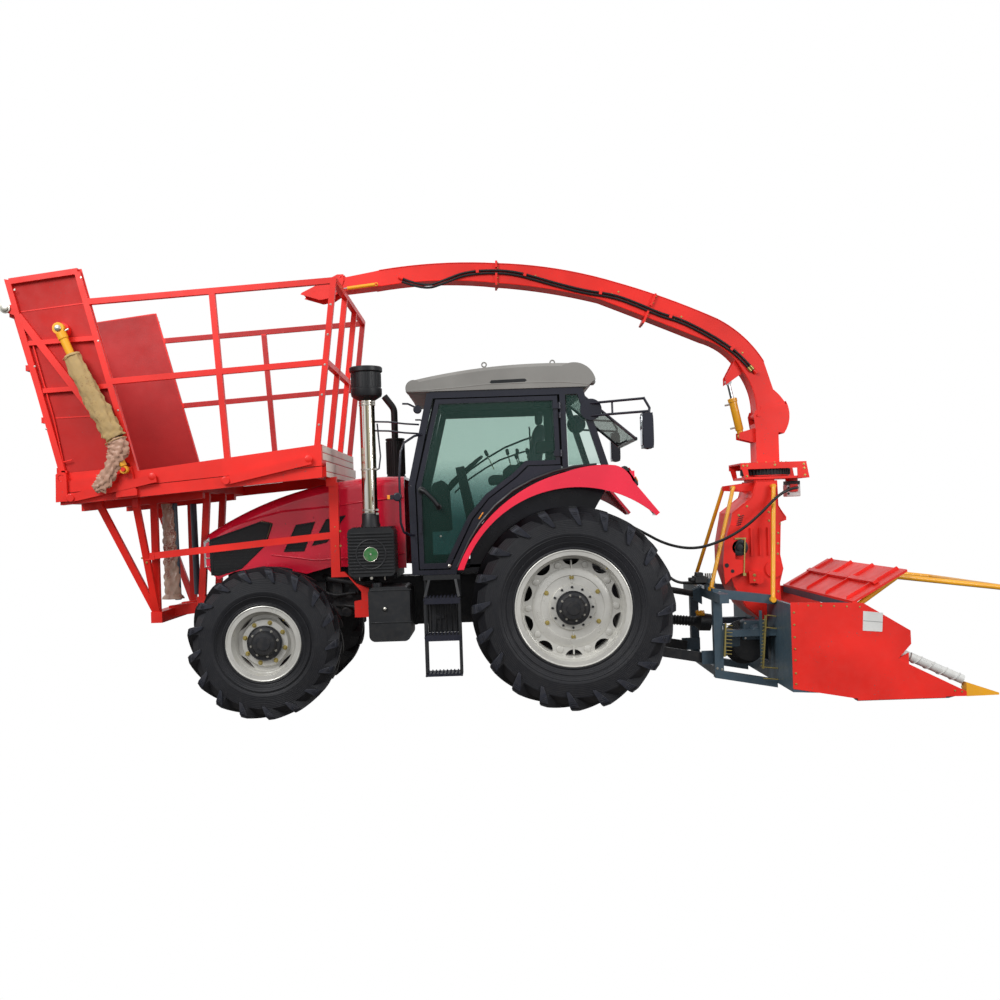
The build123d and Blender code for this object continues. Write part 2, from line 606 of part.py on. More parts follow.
with BuildPart() as bin_side:
    slab(SHEET, -BIN_HALF + TUBE, -BIN_HALF + TUBE - 12)
    y = -BIN_HALF + TUBE / 2
    slab([(FRONT_END, 3855), (FRONT_END + 50, 3845), (-4290, floor_top(-4290)), (-4345, floor_top(-4345))],
         TUBE - BIN_HALF, -BIN_HALF)
    for start, end in (((-4590, 3300), (-3995, 3328)), ((-4480, 2889), (-3890, 2914))):
        bar((start[0], y, start[1]), (end[0], y, end[1]), TUBE, 40)
    bar((-4670, y, 3540), (-3745, y, 2262), TUBE, 60)
    post(-4155, 3900, -3715, -BIN_HALF, TUBE - BIN_HALF)
    bar((-4740, y, 3835), (-4150, y, 3905), TUBE, TUBE)
    bar((TOP_FRONT[0], y, TOP_FRONT[1]), (TOP_REAR[0], y, TOP_REAR[1]), TUBE, TUBE)
    bar((MID_FRONT[0], y, MID_FRONT[1]), (MID_REAR[0], y, MID_REAR[1]), TUBE, TUBE)
    post(TOP_REAR[0] - 18, TOP_REAR[1] + 20, -2150, -BIN_HALF, TUBE - BIN_HALF)
    post(-3010, 3690, -2925, -BIN_HALF, TUBE - BIN_HALF)
    slab([(-4775, 3622), (-4775, 3570), (-4690, 3540), (-4700, 3640)], -BIN_HALF + 12, -BIN_HALF)
    rod((TIP_EYE[0], TUBE - BIN_HALF, TIP_EYE[1]), (TIP_EYE[0], -BIN_HALF - 20, TIP_EYE[1]), 120)
    rod((BIN_PIVOT[0], -BIN_HALF + 20, BIN_PIVOT[1]), (BIN_PIVOT[0], -BIN_HALF - 30, BIN_PIVOT[1]), 50)

with BuildPart() as bin_frame:
    add(both_sides(bin_side).part)
    inner_half = BIN_HALF - TUBE
    for x, z in ((TOP_REAR[0] - 18, TOP_REAR[1]), (MID_REAR[0] - 18, MID_REAR[1])):
        bar((x, -inner_half, z), (x, inner_half, z), TUBE, TUBE)
    for y in (-350, 350):
        post(TOP_REAR[0] - 18, TOP_REAR[1], -2150, y - TUBE / 2, y + TUBE / 2)
save(bin_frame, "bin_frame")

with BuildPart() as bin_gate:
    top, bottom = (-4750, 3592), (-4372, 2175)
    y = BIN_HALF - 60
    slab([top, (top[0] + 12, top[1]), (bottom[0] + 12, bottom[1]), bottom], y, -y)
    for share in (0.02, 0.35, 0.67, 0.98):
        x, z = between(top, bottom, share)
        bar((x - 12, -y, z), (x - 12, y, z), 30, 50)
    rod((GATE_HINGE[0], -1078, GATE_HINGE[1]), (GATE_HINGE[0], 1078, GATE_HINGE[1]), 40)
save(bin_gate, "bin_gate")


def cylinder(foot, eye, y_values, bore_d, barrel_d, rod_d, barrel_share, stroke_room, pin, names):
    """A hydraulic cylinder between two points of (X, Z), on each y: its barrel and its rod. pin is the
    diameter of the pin in the rod's eye, and how far it stands out towards and away from the machine."""
    pin_d, pin_in, pin_out = pin
    axis = Vector(eye[0] - foot[0], 0, eye[1] - foot[1])
    length, unit = axis.length, axis.normalized()
    with BuildPart() as barrel:
        for y in y_values:
            foot_at = Vector(foot[0], y, foot[1])
            rod(tuple(foot_at + unit * 0.42 * barrel_d), tuple(foot_at + unit * length * barrel_share), barrel_d)
            bore(tuple(foot_at + unit * stroke_room), tuple(foot_at + unit * length * (barrel_share + 0.05)), bore_d)
            rod((foot[0], y - 0.32 * barrel_d, foot[1]), (foot[0], y + 0.32 * barrel_d, foot[1]), barrel_d)
            bore((foot[0], y - barrel_d, foot[1]), (foot[0], y + barrel_d, foot[1]), 0.56 * barrel_d)
    with BuildPart() as piston:
        for y in y_values:
            eye_at = Vector(eye[0], y, eye[1])
            rod(tuple(eye_at - unit * (length - stroke_room - 8)), tuple(eye_at - unit * 0.42 * barrel_d), rod_d)
            rod((eye[0], y - 0.3 * barrel_d, eye[1]), (eye[0], y + 0.3 * barrel_d, eye[1]), barrel_d)
            away = 1 if y > 0 else -1
            rod((eye[0], y - away * pin_in, eye[1]), (eye[0], y + away * pin_out, eye[1]), pin_d)
    save(barrel, f"{names}_barrel")
    save(piston, f"{names}_rod")


cylinder(TIP_FOOT, TIP_EYE, (-TIP_CYL_Y, TIP_CYL_Y), 44, 70, 40, 0.78, 90, (36, 59, 35), "tip_cylinder")

# ---------------------------------------------------------------- harvester frame and chopper
BACK_X = 1850              # rear face of the header's back plate
with BuildPart() as harvester_frame:
    for y in (-560, 560):
        bar((1330, y, 180), (1330, y, 920), 80, 80)
        slab([(1290, 165), (1290, 235), (BACK_X, 130), (BACK_X, 60)], y + 40, y - 40)
        slab([(1290, 890), (1290, 970), (BACK_X, 890), (BACK_X, 810)], y + 40, y - 40)
        slab([(1330, 530), (1330, 590), (BACK_X, 590), (BACK_X, 530)], y + 40, y - 40)
    bar((1330, -900, 900), (1330, 900, 900), 80, 80)
    bar((1330, -600, 220), (1330, 600, 220), 80, 80)
    for y in (-42, 30):
        slab([(1215, 830), (1300, 780), (1300, 960), (1215, 920)], y + 12, y)
    for y in (-520, 495):
        slab([(1190, 280), (1370, 280), (1370, 400), (1190, 400)], y + 25, y)
    block((1290, -330, 936), (1370, -210, 1040))
    for x, z_low, z_high in ((1372, 360, 650), (1700, 250, 760)):
        block((x, -606, z_low), (x + 26, -600, z_high))
save(harvester_frame, "harvester_frame")

RING_LOW, RING_HIGH = 1978, 2058     # the slewing ring, between two plates of the housing
PLATE_LOW, PLATE_HIGH = 1950, 2090
with BuildPart() as chopper:
    slab([(1500, 1150), (1500, 1330), (1560, 1640), (1750, 1780), (1795, 1930), (1985, 1930), (1988, 1700),
          (2062, 1592), (2062, 1562), (2010, 1545), (1995, 1240), (2020, 1110), (1985, 980), (1990, 780),
          (1900, 640), (1800, 640), (1660, 760), (1560, 950)], 280, -280)
    slab([(1570, 1855), (1570, 1900), (1800, 1925), (1800, 1835)], -150, -170)
    slab([(1570, 1855), (1570, 1900), (1800, 1925), (1800, 1835)], 170, 150)
    slab([(1790, PLATE_LOW), (1795, 1930), (1985, 1930), (1985, PLATE_LOW)], 200, -200)
    block((1700, -240, PLATE_LOW), (2300, 240, PLATE_LOW + 22))
    block((1660, -250, PLATE_HIGH), (2276, 250, PLATE_HIGH + 14))
    bore((SLEW_X, 0, PLATE_HIGH - 10), (SLEW_X, 0, PLATE_HIGH + 30), 312)
    for y in (-250, 238):
        block((1660, y, PLATE_HIGH - 45), (2276, y + 12, PLATE_HIGH + 14))
        slab([(2190, PLATE_LOW), (2300, PLATE_LOW), (2276, PLATE_HIGH), (2190, PLATE_HIGH)], y + 12, y)
        slab([(1700, PLATE_LOW), (1740, PLATE_LOW), (1720, PLATE_HIGH), (1660, PLATE_HIGH)], y + 12, y)
    rod((2200, 0, 1780), (2200, 0, PLATE_LOW), 116)
    for x in (1720, 1800, 1880):
        slab([(x, 1240), (x + 12, 1240), (x + 12, 1500), (x, 1500)], -280, -305)
    rod((1930, -280, 1110), (1930, -300, 1110), 150)
    rod((1780, -280, 1020), (1780, -330, 1020), 90)
    block((2165, -84, 1825), (2235, -40, 1895))
    slab([(1464, 1366), (1524, 1534), (1613, 1519), (1600, 1400), (1562, 1340), (1562, 1214), (1640, 1205),
          (1665, 1150), (1641, 1094), (1523, 1045), (1462, 985), (1448, 1176)], -280, -345)
save(chopper, "chopper_housing")

with BuildPart() as chopper_stays:
    for sign in (-1, 1):
        rod((1590, sign * 170, 1878), (1590, sign * 235, 1878), 36)
        rod((1590, sign * 220, 1878), (1315, sign * 420, 970), 36)
        rod((1315, sign * 420, 970), (1315, sign * 420, 940), 60)
        rod((1940, sign * 280, 1880), (1940, sign * 350, 1880), 40)
        rod((1940, sign * 330, 1880), (1822, sign * 635, 856), 40)
        rod((1822, sign * 600, 856), (1822, sign * 660, 856), 50)
save(chopper_stays, "chopper_stays")

# ---------------------------------------------------------------- turret and spout
CHEEK = SPOUT_HALF + GAP   # inner face of the plates that hold the spout
with BuildPart() as turret:
    rod((SLEW_X, 0, RING_LOW), (SLEW_X, 0, RING_HIGH), 440)
    rod((SLEW_X, 0, RING_HIGH), (SLEW_X, 0, 2112), 298)
    y = CHEEK + 6
    slab([(1845, 2110), (1845, 2480), (1880, 2480), (2060, 2400), (2060, 2110)], y, -y)
    for low in (-y, CHEEK):
        slab([(1845, 2440), (1828, 2553), (1845, 2600)] + arc(SPOUT_HINGE, HINGE_R + 12, 20, -36), low, low + 6)
    slab(arc(SPOUT_HINGE, HINGE_R + 12, 26, -36) + arc(SPOUT_HINGE, HINGE_R + GAP, -36, 26), y, -y)
    bore((SPOUT_HINGE[0], -200, SPOUT_HINGE[1]), (SPOUT_HINGE[0], 200, SPOUT_HINGE[1]), 28)
    for side_y in (-70, 70):
        slab([(1850, 2300), (1700, 2340), (1700, 2400), (1850, 2440)], side_y + 8, side_y - 8)
    rod((LIFT_FOOT[0], -80, LIFT_FOOT[1]), (LIFT_FOOT[0], 80, LIFT_FOOT[1]), 28)
save(turret, "turret")

SPOUT_OUTLINE = [
    ((2125, 2685), (2070, 2757), (2026, 2798)), ((2026, 2798), (1946, 3063)),
    ((1946, 3063), (1762, 3299), (1520, 3479)), ((1520, 3479), (1049, 3686), (576, 3855)),
    ((576, 3855), (102, 3985), (-555, 4074)), ((-555, 4074), (-1157, 4089), (-1666, 4045)),
    ((-1666, 4045), (-2021, 3985)), ((-2021, 3985), (-2021, 3862)), ((-2021, 3862), (-1709, 3890)),
    ((-1709, 3890), (-1162, 3932), (-561, 3892)), ((-561, 3892), (-56, 3818), (413, 3707)),
    ((413, 3707), (880, 3510), (1380, 3293)), ((1380, 3293), (1633, 3141), (1752, 2974)),
    ((1752, 2974), (1840, 2780), (1862, 2580)), ((1862, 2580), (2125, 2685)),
]
FLANGES = [((944, 3735), (814, 3462)), ((-553, 4096), (-560, 3866))]
HOSE_Y, HOSE_D = -119, 22
HOSE_ROUTE = [(1845, 2985), (1730, 3128), (1560, 3262), (1365, 3385), (1169, 3490), (985, 3548), (800, 3638),
              (553, 3742), (290, 3785), (30, 3860), (-180, 3928), (-390, 3992), (-610, 4012), (-860, 4000),
              (-1060, 3925), (-1240, 3870), (-1440, 3955)]
HOSE_NOTCHES = [(876, 3601), (-556, 4007)]
CLIPS = [((1730, 3128), (1560, 3262)), ((1169, 3490), (985, 3548)), ((553, 3742), (290, 3785)),
         ((-180, 3928), (-390, 3992)), ((-860, 4000), (-610, 4012))]
with BuildPart() as spout:
    with BuildSketch(side(SPOUT_HALF)):
        with BuildLine():
            trace(*SPOUT_OUTLINE)
        make_face()
    extrude(amount=2 * SPOUT_HALF)
    with BuildSketch(side(SPOUT_HALF - 8)):
        Polygon((-2100, 3963), (-1690, 4033), (-1690, 3900), (-2100, 3863), align=None)
    extrude(amount=2 * SPOUT_HALF - 16, mode=Mode.SUBTRACT)
    for side_y in (-60, 60):
        slab([(1740, 2960), (1590, 2860), (1590, 2930), (1680, 3090)], side_y + 8, side_y - 8)
    for high, low in FLANGES:
        bar((high[0], 0, high[1]), (low[0], 0, low[1]), 2 * SPOUT_HALF + 56, 20)
    for x, z in HOSE_NOTCHES:
        bore((x, -SPOUT_HALF - 0.5, z), (x, -SPOUT_HALF - 40, z), 56)
    for (x1, z1), (x2, z2) in CLIPS:
        middle, run = Vector((x1 + x2) / 2, HOSE_Y, (z1 + z2) / 2), Vector(x2 - x1, 0, z2 - z1).normalized()
        bar(middle - 14 * run, middle + 14 * run, 42, 40)
        bore(middle - 30 * run, middle + 30 * run, HOSE_D + 6)
    for (x1, z1), (x2, z2) in ((HOSE_ROUTE[1], HOSE_ROUTE[0]), (HOSE_ROUTE[-2], HOSE_ROUTE[-1])):
        end, run = Vector(x2, HOSE_Y, z2), Vector(x2 - x1, 0, z2 - z1).normalized()
        rod(end, end + 42 * run, 34)
    hinge_x, hinge_z = SPOUT_HINGE
    rod((hinge_x, -100, hinge_z), (hinge_x, 100, hinge_z), 56)
    rod((hinge_x, -130, hinge_z), (hinge_x, 130, hinge_z), 24)
    rod((FLAP_FOOT[0], -SPOUT_HALF, FLAP_FOOT[1]), (FLAP_FOOT[0], FLAP_CYL_Y - 22, FLAP_FOOT[1]), 16)
    rod((FLAP_HINGE[0], -CHEEK - 12, FLAP_HINGE[1]), (FLAP_HINGE[0], CHEEK + 12, FLAP_HINGE[1]), 18)
    slab([(-1990, 3980), (-1990, 4010), (-2032, 4010), (-2040, 4000), (-2032, 3988)], 100, -100)
save(spout, "spout")

with BuildPart() as spout_flap:
    for low in (-CHEEK - 6, CHEEK):
        slab([(-2000, 4018), (-2060, 4018), (-2400, 3856), (-2412, 3840), (-2230, 3782), (-2120, 3800),
              (-2040, 3850), (-2000, 3960)], low, low + 6)
    slab([(-2058, 4018), (-2400, 3856), (-2394, 3848), (-2058, 4006)], CHEEK, -CHEEK)
    bore((FLAP_HINGE[0], -200, FLAP_HINGE[1]), (FLAP_HINGE[0], 200, FLAP_HINGE[1]), 22)
save(spout_flap, "spout_flap")

cylinder(LIFT_FOOT, LIFT_EYE, (0,), 40, 60, 36, 0.70, 110, (28, 46, 46), "lift_cylinder")
cylinder(FLAP_FOOT, FLAP_PIN, (FLAP_CYL_Y,), 20, 34, 18, 0.72, 60, (14, 27, 18), "flap_cylinder")

# ---------------------------------------------------------------- header
HEADER_HALF = HALF_WIDTH - 5
DRUM_Y, DRUM_X = 540, 2290
with BuildPart() as header_body:
    block((BACK_X, -HEADER_HALF, 110), (BACK_X + 30, HEADER_HALF, 850))
    slab([(BACK_X, 100), (2560, 60), (2560, 84), (BACK_X, 124)], HEADER_HALF, -HEADER_HALF)
    with Locations((BACK_X + 15, 0, 560)):
        Box(80, 600, 620, mode=Mode.SUBTRACT)
    block((2380, -HEADER_HALF, 780), (2440, HEADER_HALF, 842))
    for y in (-DRUM_Y, DRUM_Y):
        rod((DRUM_X, y, 70), (DRUM_X, y, 128), 220)
save(header_body, "header_body")

SIDE_PLATE = [(BACK_X, 869), (2470, 845), (2868, 596), (2870, 481), (2754, 356), (3330, 60), (3330, 20),
              (2377, 31), (BACK_X, 130)]
with BuildPart() as header_side:
    slab(SIDE_PLATE, -HEADER_HALF, -HALF_WIDTH)
    slab([(2400, 12), (3150, 12), (3150, 40), (2400, 40)], -1000, -HALF_WIDTH)
    slab([(2754, 356), (2835, 396), (2848, 405), (2848, 300)], -1000, -HEADER_HALF)

with BuildPart() as header_shields:
    add(both_sides(header_side).part)
    slab([(2380, 842), (2380, 862), (2395, 864), (2856, 1118), (2862, 1100), (2425, 858), (2420, 842)],
         HEADER_HALF, -HEADER_HALF)
    for y in (-900, -300, 300, 900):
        slab([(2391, 860), (2400, 892), (2840, 1135), (2856, 1116)], y + 10, y - 10)
save(header_shields, "header_shields")

with BuildPart() as divider_tip:
    with BuildSketch(Plane(origin=(3330, -1050, 78), x_dir=(0, 1, 0), z_dir=(1, 0, 0))):
        Rectangle(100, 120)
    with BuildSketch(Plane(origin=(3625, -1050, 24), x_dir=(0, 1, 0), z_dir=(1, 0, 0))):
        Rectangle(22, 18)
    loft()
    slab([(3330, 20), (3330, 46), (3260, 46), (3260, 20)], -1000, -HEADER_HALF)
save(both_sides(divider_tip), "divider_tips")

with BuildPart() as push_bar:
    for y in (-900, 900):
        rod((2480, y, 800), (2840, y, 1045), 45)
        rod((2840, y, 1045), (REAR_END - 22, y, 905), 45)
    rod((REAR_END - 22.5, -900, 905), (REAR_END - 22.5, 900, 905), 45)
    rod((2480, -HEADER_HALF, 800), (2480, HEADER_HALF, 800), 45)
save(push_bar, "push_bar")

with BuildPart() as drum:
    rod((DRUM_X, -DRUM_Y, 130), (DRUM_X, -DRUM_Y, 620), 560)
    for z in (150, 400, 590):
        with BuildSketch(Plane.XY.offset(z)):
            with Locations((DRUM_X, -DRUM_Y)):
                Circle(330)
                with PolarLocations(320, 14):
                    Polygon((0, -45), (75, 20), (0, 45), align=None)
        extrude(amount=8)
save_pair(drum, "header_drum")

with BuildPart() as auger:
    rod((2876, -1040, 364), (3322, -1040, 154), 78)
save_pair(auger, "divider_auger")

# ---------------------------------------------------------------- hoses
LOOSE_D = 26
TRACTOR_HOSES = {
    # name: points about the rear axle, from the couplers behind the cab to where each hose ends
    "hose_loop": [(300, -270, 1600), (500, -270, 1600), (690, -275, 1520), (810, -300, 1340), (880, -300, 1150),
                  (1000, -285, 1020), (1140, -270, 1000), (1290, -270, 1000)],
    "hose_slew": [(300, -150, 1620), (500, -150, 1620), (720, -200, 1500), (930, -300, 1370), (1170, -400, 1320),
                  (1400, -430, 1380), (1620, -430, 1490), (1800, -430, 1640), (1950, -430, 1790),
                  (2080, -390, 1850), (2200, -280, 1860), (2200, -84, 1860)],
}


def turn_radius(before, corner, after):
    """The largest arc that the shorter of two runs has room for at their corner."""
    one, two = Vector(*corner) - Vector(*before), Vector(*after) - Vector(*corner)
    half_turn = math.radians(one.get_angle(two)) / 2
    return 0.45 * min(one.length, two.length) / math.tan(half_turn)


def hose(points, diameter, name):
    """A hose along its route, with a tangent arc at each corner."""
    radii = [turn_radius(*points[i - 1:i + 2]) for i in range(1, len(points) - 1)]
    print(name, "tightest bend", round(min(radii)), "mm,", round(min(radii) / diameter, 1), "diameters")
    with BuildPart() as tube:
        with BuildLine() as route:
            FilletPolyline(*points, radius=radii)
        with BuildSketch(Plane(origin=route.line @ 0, z_dir=route.line % 0)):
            Circle(diameter / 2)
        sweep()
    save(tube, name)


for name, points in TRACTOR_HOSES.items():
    hose(points, LOOSE_D, name)
hose([(x, HOSE_Y, z) for x, z in HOSE_ROUTE], HOSE_D, "hose_spout")
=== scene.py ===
"""Forage harvester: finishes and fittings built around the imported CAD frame.

Sizes are in millimetres about the rear axle, on the ground, as a designer would quote them; at() turns
them into the frame's metres. X runs from the bin to the header, -Y is the tractor's left, Z is up.
"""

import json
import math
from collections import namedtuple
from types import SimpleNamespace

import bpy
from mathutils import Matrix, Vector


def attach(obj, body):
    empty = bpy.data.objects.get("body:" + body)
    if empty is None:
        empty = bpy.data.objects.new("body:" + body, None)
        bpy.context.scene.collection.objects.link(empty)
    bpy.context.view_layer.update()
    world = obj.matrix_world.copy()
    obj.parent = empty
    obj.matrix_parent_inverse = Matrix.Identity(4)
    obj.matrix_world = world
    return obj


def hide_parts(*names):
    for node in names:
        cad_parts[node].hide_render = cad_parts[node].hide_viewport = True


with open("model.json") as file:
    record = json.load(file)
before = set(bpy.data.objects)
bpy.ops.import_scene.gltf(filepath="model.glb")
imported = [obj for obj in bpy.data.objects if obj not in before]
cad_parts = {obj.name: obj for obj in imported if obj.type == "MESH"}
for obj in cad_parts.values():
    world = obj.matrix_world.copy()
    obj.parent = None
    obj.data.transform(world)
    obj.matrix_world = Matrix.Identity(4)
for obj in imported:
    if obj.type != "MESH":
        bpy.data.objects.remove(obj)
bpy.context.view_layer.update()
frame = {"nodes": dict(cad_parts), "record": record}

SHIFT_X = 450  # from the rear axle to the middle of the machine's box
SIDES = (("left", -1), ("right", 1))
LEFTWARDS, RIGHTWARDS, UPWARDS = (0, -1, 0), (0, 1, 0), (0, 0, 1)
ACROSS = Vector(RIGHTWARDS)


def at(x, y, z):
    """A point of the machine, from millimetres about the rear axle to the frame's metres."""
    return Vector(((x + SHIFT_X) / 1000, y / 1000, z / 1000))


def add_object(name, data):
    obj = bpy.data.objects.new(name, data)
    bpy.context.scene.collection.objects.link(obj)
    return obj


def feed(tree, node, inputs):
    """Sets each input of a node to its value, or links it to the output that feeds it."""
    for socket, value in inputs.items():
        if isinstance(value, bpy.types.NodeSocket):
            tree.links.new(value, node.inputs[socket])
        else:
            node.inputs[socket].default_value = value
    return node


def add_node(tree, kind, inputs=None, **settings):
    node = tree.nodes.new(f"ShaderNode{kind}")
    for name, value in settings.items():
        setattr(node, name, value)
    return feed(tree, node, inputs or {})


def fill_ramp(ramp, stops):
    """Sets a ramp's (place, colour) stops, the first two of which it has already."""
    elements = ramp.color_ramp.elements
    for number, (place, colour) in enumerate(stops):
        stop = elements[number] if number < 2 else elements.new(place)
        stop.position, stop.color = place, (*colour, 1)


# ---------------------------------------------------------------- camera and light
SKY = ((0.0, (0.16, 0.15, 0.14)), (1.0, (1.0, 1.0, 1.0)), (0.47, (0.22, 0.21, 0.20)),
       (0.53, (0.75, 0.77, 0.80)))
# name, place, what it points at, size in metres, watts
LIGHTS = (("key", (-6, -8, 8), (-0.5, 0, 1.6), 4, 700), ("fill", (7, -7, 4), (1.5, 0, 1.2), 3, 260))


def add_camera():
    data = bpy.data.cameras.new("view")
    data.sensor_width, data.lens, data.clip_end = 36, 39.06, 100
    data.shift_x, data.shift_y = 0.010, 0.012
    camera = add_object("view", data)
    camera.matrix_world = (Matrix.Translation((-0.24, -10.37, 1.726))
                           @ Matrix.Rotation(math.radians(90), 4, "X")
                           @ Matrix.Rotation(math.radians(-1.9), 4, "Z"))
    bpy.context.scene.camera = camera


def add_world():
    """An overcast sky that is bright above and dim below, seen as plain white by the camera."""
    world = bpy.data.worlds.new("sky")
    bpy.context.scene.world = world
    world.use_nodes = True
    tree = world.node_tree
    tree.nodes.clear()
    split = add_node(tree, "SeparateXYZ", {0: add_node(tree, "TexCoord").outputs["Generated"]})
    height = add_node(tree, "Math", {0: split.outputs["Z"], 1: 0.5, 2: 0.5}, operation="MULTIPLY_ADD")
    ramp = add_node(tree, "ValToRGB", {0: height.outputs[0]})
    fill_ramp(ramp, SKY)
    sky = add_node(tree, "Background", {"Color": ramp.outputs[0], "Strength": 0.95})
    white = add_node(tree, "Background", {"Color": (1, 1, 1, 1), "Strength": 1.0})
    seen = add_node(tree, "LightPath").outputs["Is Camera Ray"]
    mix = add_node(tree, "MixShader", {0: seen, 1: sky.outputs[0], 2: white.outputs[0]})
    add_node(tree, "OutputWorld", {"Surface": mix.outputs[0]})


def add_light(name, place, target, size, watts):
    data = bpy.data.lights.new(name, "AREA")
    data.size, data.energy = size, watts
    lamp = add_object(name, data)
    lamp.location = place
    lamp.rotation_euler = (Vector(target) - Vector(place)).to_track_quat("-Z", "Y").to_euler()


add_camera()
add_world()
for row in LIGHTS:
    add_light(*row)
bpy.context.scene.view_settings.view_transform = "Standard"


# ---------------------------------------------------------------- finishes
Look = namedtuple("Look", "material slot")
LOOKS = {}
DUST = (0.30, 0.25, 0.19, 1)


def finish(name, colour, rough=0.4, metallic=0.0, coat=0.0, dust=0.0, wear=0.0, bump=0.0, grain=60.0,
           under=(0.10, 0.09, 0.085), slot=None):
    """A painted, moulded or bare surface: tone varies slowly, dust settles low down, and paint is worn
    through to what is under it in small chips. grain is the bump's scale. slot is the record's material
    that the surface stands in for, where it isn't the name."""
    material = bpy.data.materials.new(name)
    material.use_nodes = True
    material.diffuse_color = (*colour, 1)
    tree = material.node_tree
    place = add_node(tree, "TexCoord").outputs["Object"]

    def noise(scale, detail=4):
        return add_node(tree, "TexNoise", {"Scale": scale, "Detail": detail, "Vector": place}).outputs["Fac"]

    def span(value, low, high, to_low, to_high):
        return add_node(tree, "MapRange", {"Value": value, "From Min": low, "From Max": high,
                                           "To Min": to_low, "To Max": to_high}).outputs[0]

    def times(a, b):
        return add_node(tree, "Math", {0: a, 1: b}, operation="MULTIPLY").outputs[0]

    def blend(share, low, high):
        return add_node(tree, "Mix", {"Factor": share, 6: low, 7: high}, data_type="RGBA").outputs[2]

    dark = tuple(0.80 * c for c in colour)
    light = tuple(min(1.0, 1.12 * c + 0.004) for c in colour)
    tone = blend(span(noise(1.7), 0.3, 0.7, 0, 1), (*dark, 1), (*light, 1))
    if dust:
        height = add_node(tree, "SeparateXYZ", {0: place}).outputs["Z"]
        speckle = span(noise(26.0, 8), 0.42, 0.68, 0.0, dust)
        tone = blend(times(span(height, 0.0, 2.4, 1.0, 0.25), speckle), tone, DUST)
    if wear:
        worn = 0.06 * wear
        chips = span(noise(75.0, 3), 0.70 - worn, 0.72 - worn, 0.0, 1.0)
        tone = blend(times(chips, span(noise(3.1), 0.50, 0.60, 0.0, 0.85)), tone, (*under, 1))
    shader = feed(tree, tree.nodes["Principled BSDF"], {
        "Base Color": tone, "Metallic": metallic, "Specular IOR Level": 0.35, "Coat Weight": coat,
        "Coat Roughness": 0.08,
        "Roughness": span(noise(9.0), 0.25, 0.75, max(0.02, rough - 0.08), min(1.0, rough + 0.10))})
    if bump:
        relief = add_node(tree, "Bump", {"Strength": bump, "Distance": 0.002, "Height": noise(grain, 5)})
        feed(tree, shader, {"Normal": relief.outputs[0]})
    LOOKS[name] = Look(material, slot or name)
    return LOOKS[name]


def glazing(name, colour, alpha):
    """Tinted glass: a thin sheet that mirrors the sky; painted shade darkens the view through it low down.
    """
    look = finish(name, colour, rough=0.04)
    tree = look.material.node_tree
    shader = feed(tree, tree.nodes["Principled BSDF"], {"Specular IOR Level": 0.8})
    split = add_node(tree, "SeparateXYZ", {0: add_node(tree, "TexCoord").outputs["Object"]})
    # painted shade: the view through turns darker low down, where the cab inside is dim
    depth = add_node(tree, "MapRange", {"Value": split.outputs["Z"], "From Min": 1.65, "From Max": 2.20})
    tint_painted_shade = add_node(tree, "Mix", {"Factor": depth.outputs[0], 6: (0.34, 0.47, 0.47, 1),
                                  7: (0.88, 0.96, 0.93, 1)}, data_type="RGBA")
    clear = add_node(tree, "BsdfTransparent", {"Color": tint_painted_shade.outputs[2]})
    edge = add_node(tree, "LayerWeight", {"Blend": 0.35})
    span = add_node(tree, "MapRange", {"Value": edge.outputs["Fresnel"], "To Min": alpha,
                                       "To Max": min(1.0, alpha + 0.40)})
    mix = add_node(tree, "MixShader", {0: span.outputs[0], 1: clear.outputs[0], 2: shader.outputs[0]})
    feed(tree, tree.nodes["Material Output"], {"Surface": mix.outputs[0]})
    return look


def reflection_painted_metal(name, bands):
    """Bright metal with painted reflections: its colour changes with the way it faces, as if dark and bright
    surroundings were mirrored in it. bands holds (share of the way from -X to +X, colour)."""
    look = finish(name, (0.7, 0.68, 0.62), rough=0.12, metallic=1.0)
    tree = look.material.node_tree
    facing = add_node(tree, "SeparateXYZ", {0: add_node(tree, "NewGeometry").outputs["Normal"]})
    share = add_node(tree, "MapRange", {"Value": facing.outputs["X"], "From Min": -1})
    ramp = add_node(tree, "ValToRGB", {0: share.outputs[0]})
    fill_ramp(ramp, bands)
    feed(tree, tree.nodes["Principled BSDF"], {"Base Color": ramp.outputs[0]})
    return look


def tyre_finish(name, axle):
    """Dusty rubber with fine moulded rings around the wall, about that axle."""
    look = finish(name, (0.0075, 0.008, 0.011), 0.46, dust=0.015, bump=0.3, grain=90, slot="tyre_rubber")
    tree = look.material.node_tree
    shader = tree.nodes["Principled BSDF"]
    place = add_node(tree, "TexCoord").outputs["Object"]
    away = add_node(tree, "VectorMath", {0: place, 1: axle}, operation="SUBTRACT")
    flat = add_node(tree, "VectorMath", {0: away.outputs[0], 1: (1, 0, 1)}, operation="MULTIPLY")
    length = add_node(tree, "VectorMath", {0: flat.outputs[0]}, operation="LENGTH")
    turn = add_node(tree, "Math", {0: length.outputs["Value"], 1: 420.0}, operation="MULTIPLY")
    wave = add_node(tree, "Math", {0: turn.outputs[0]}, operation="SINE")
    limit = add_node(tree, "MapRange", {"Value": wave.outputs[0], "From Min": 0.55})
    rings = add_node(tree, "Bump", {"Strength": 0.5, "Distance": 0.003, "Height": limit.outputs[0],
                                    "Normal": shader.inputs["Normal"].links[0].from_socket})
    feed(tree, shader, {"Normal": rings.outputs[0]})
    return look


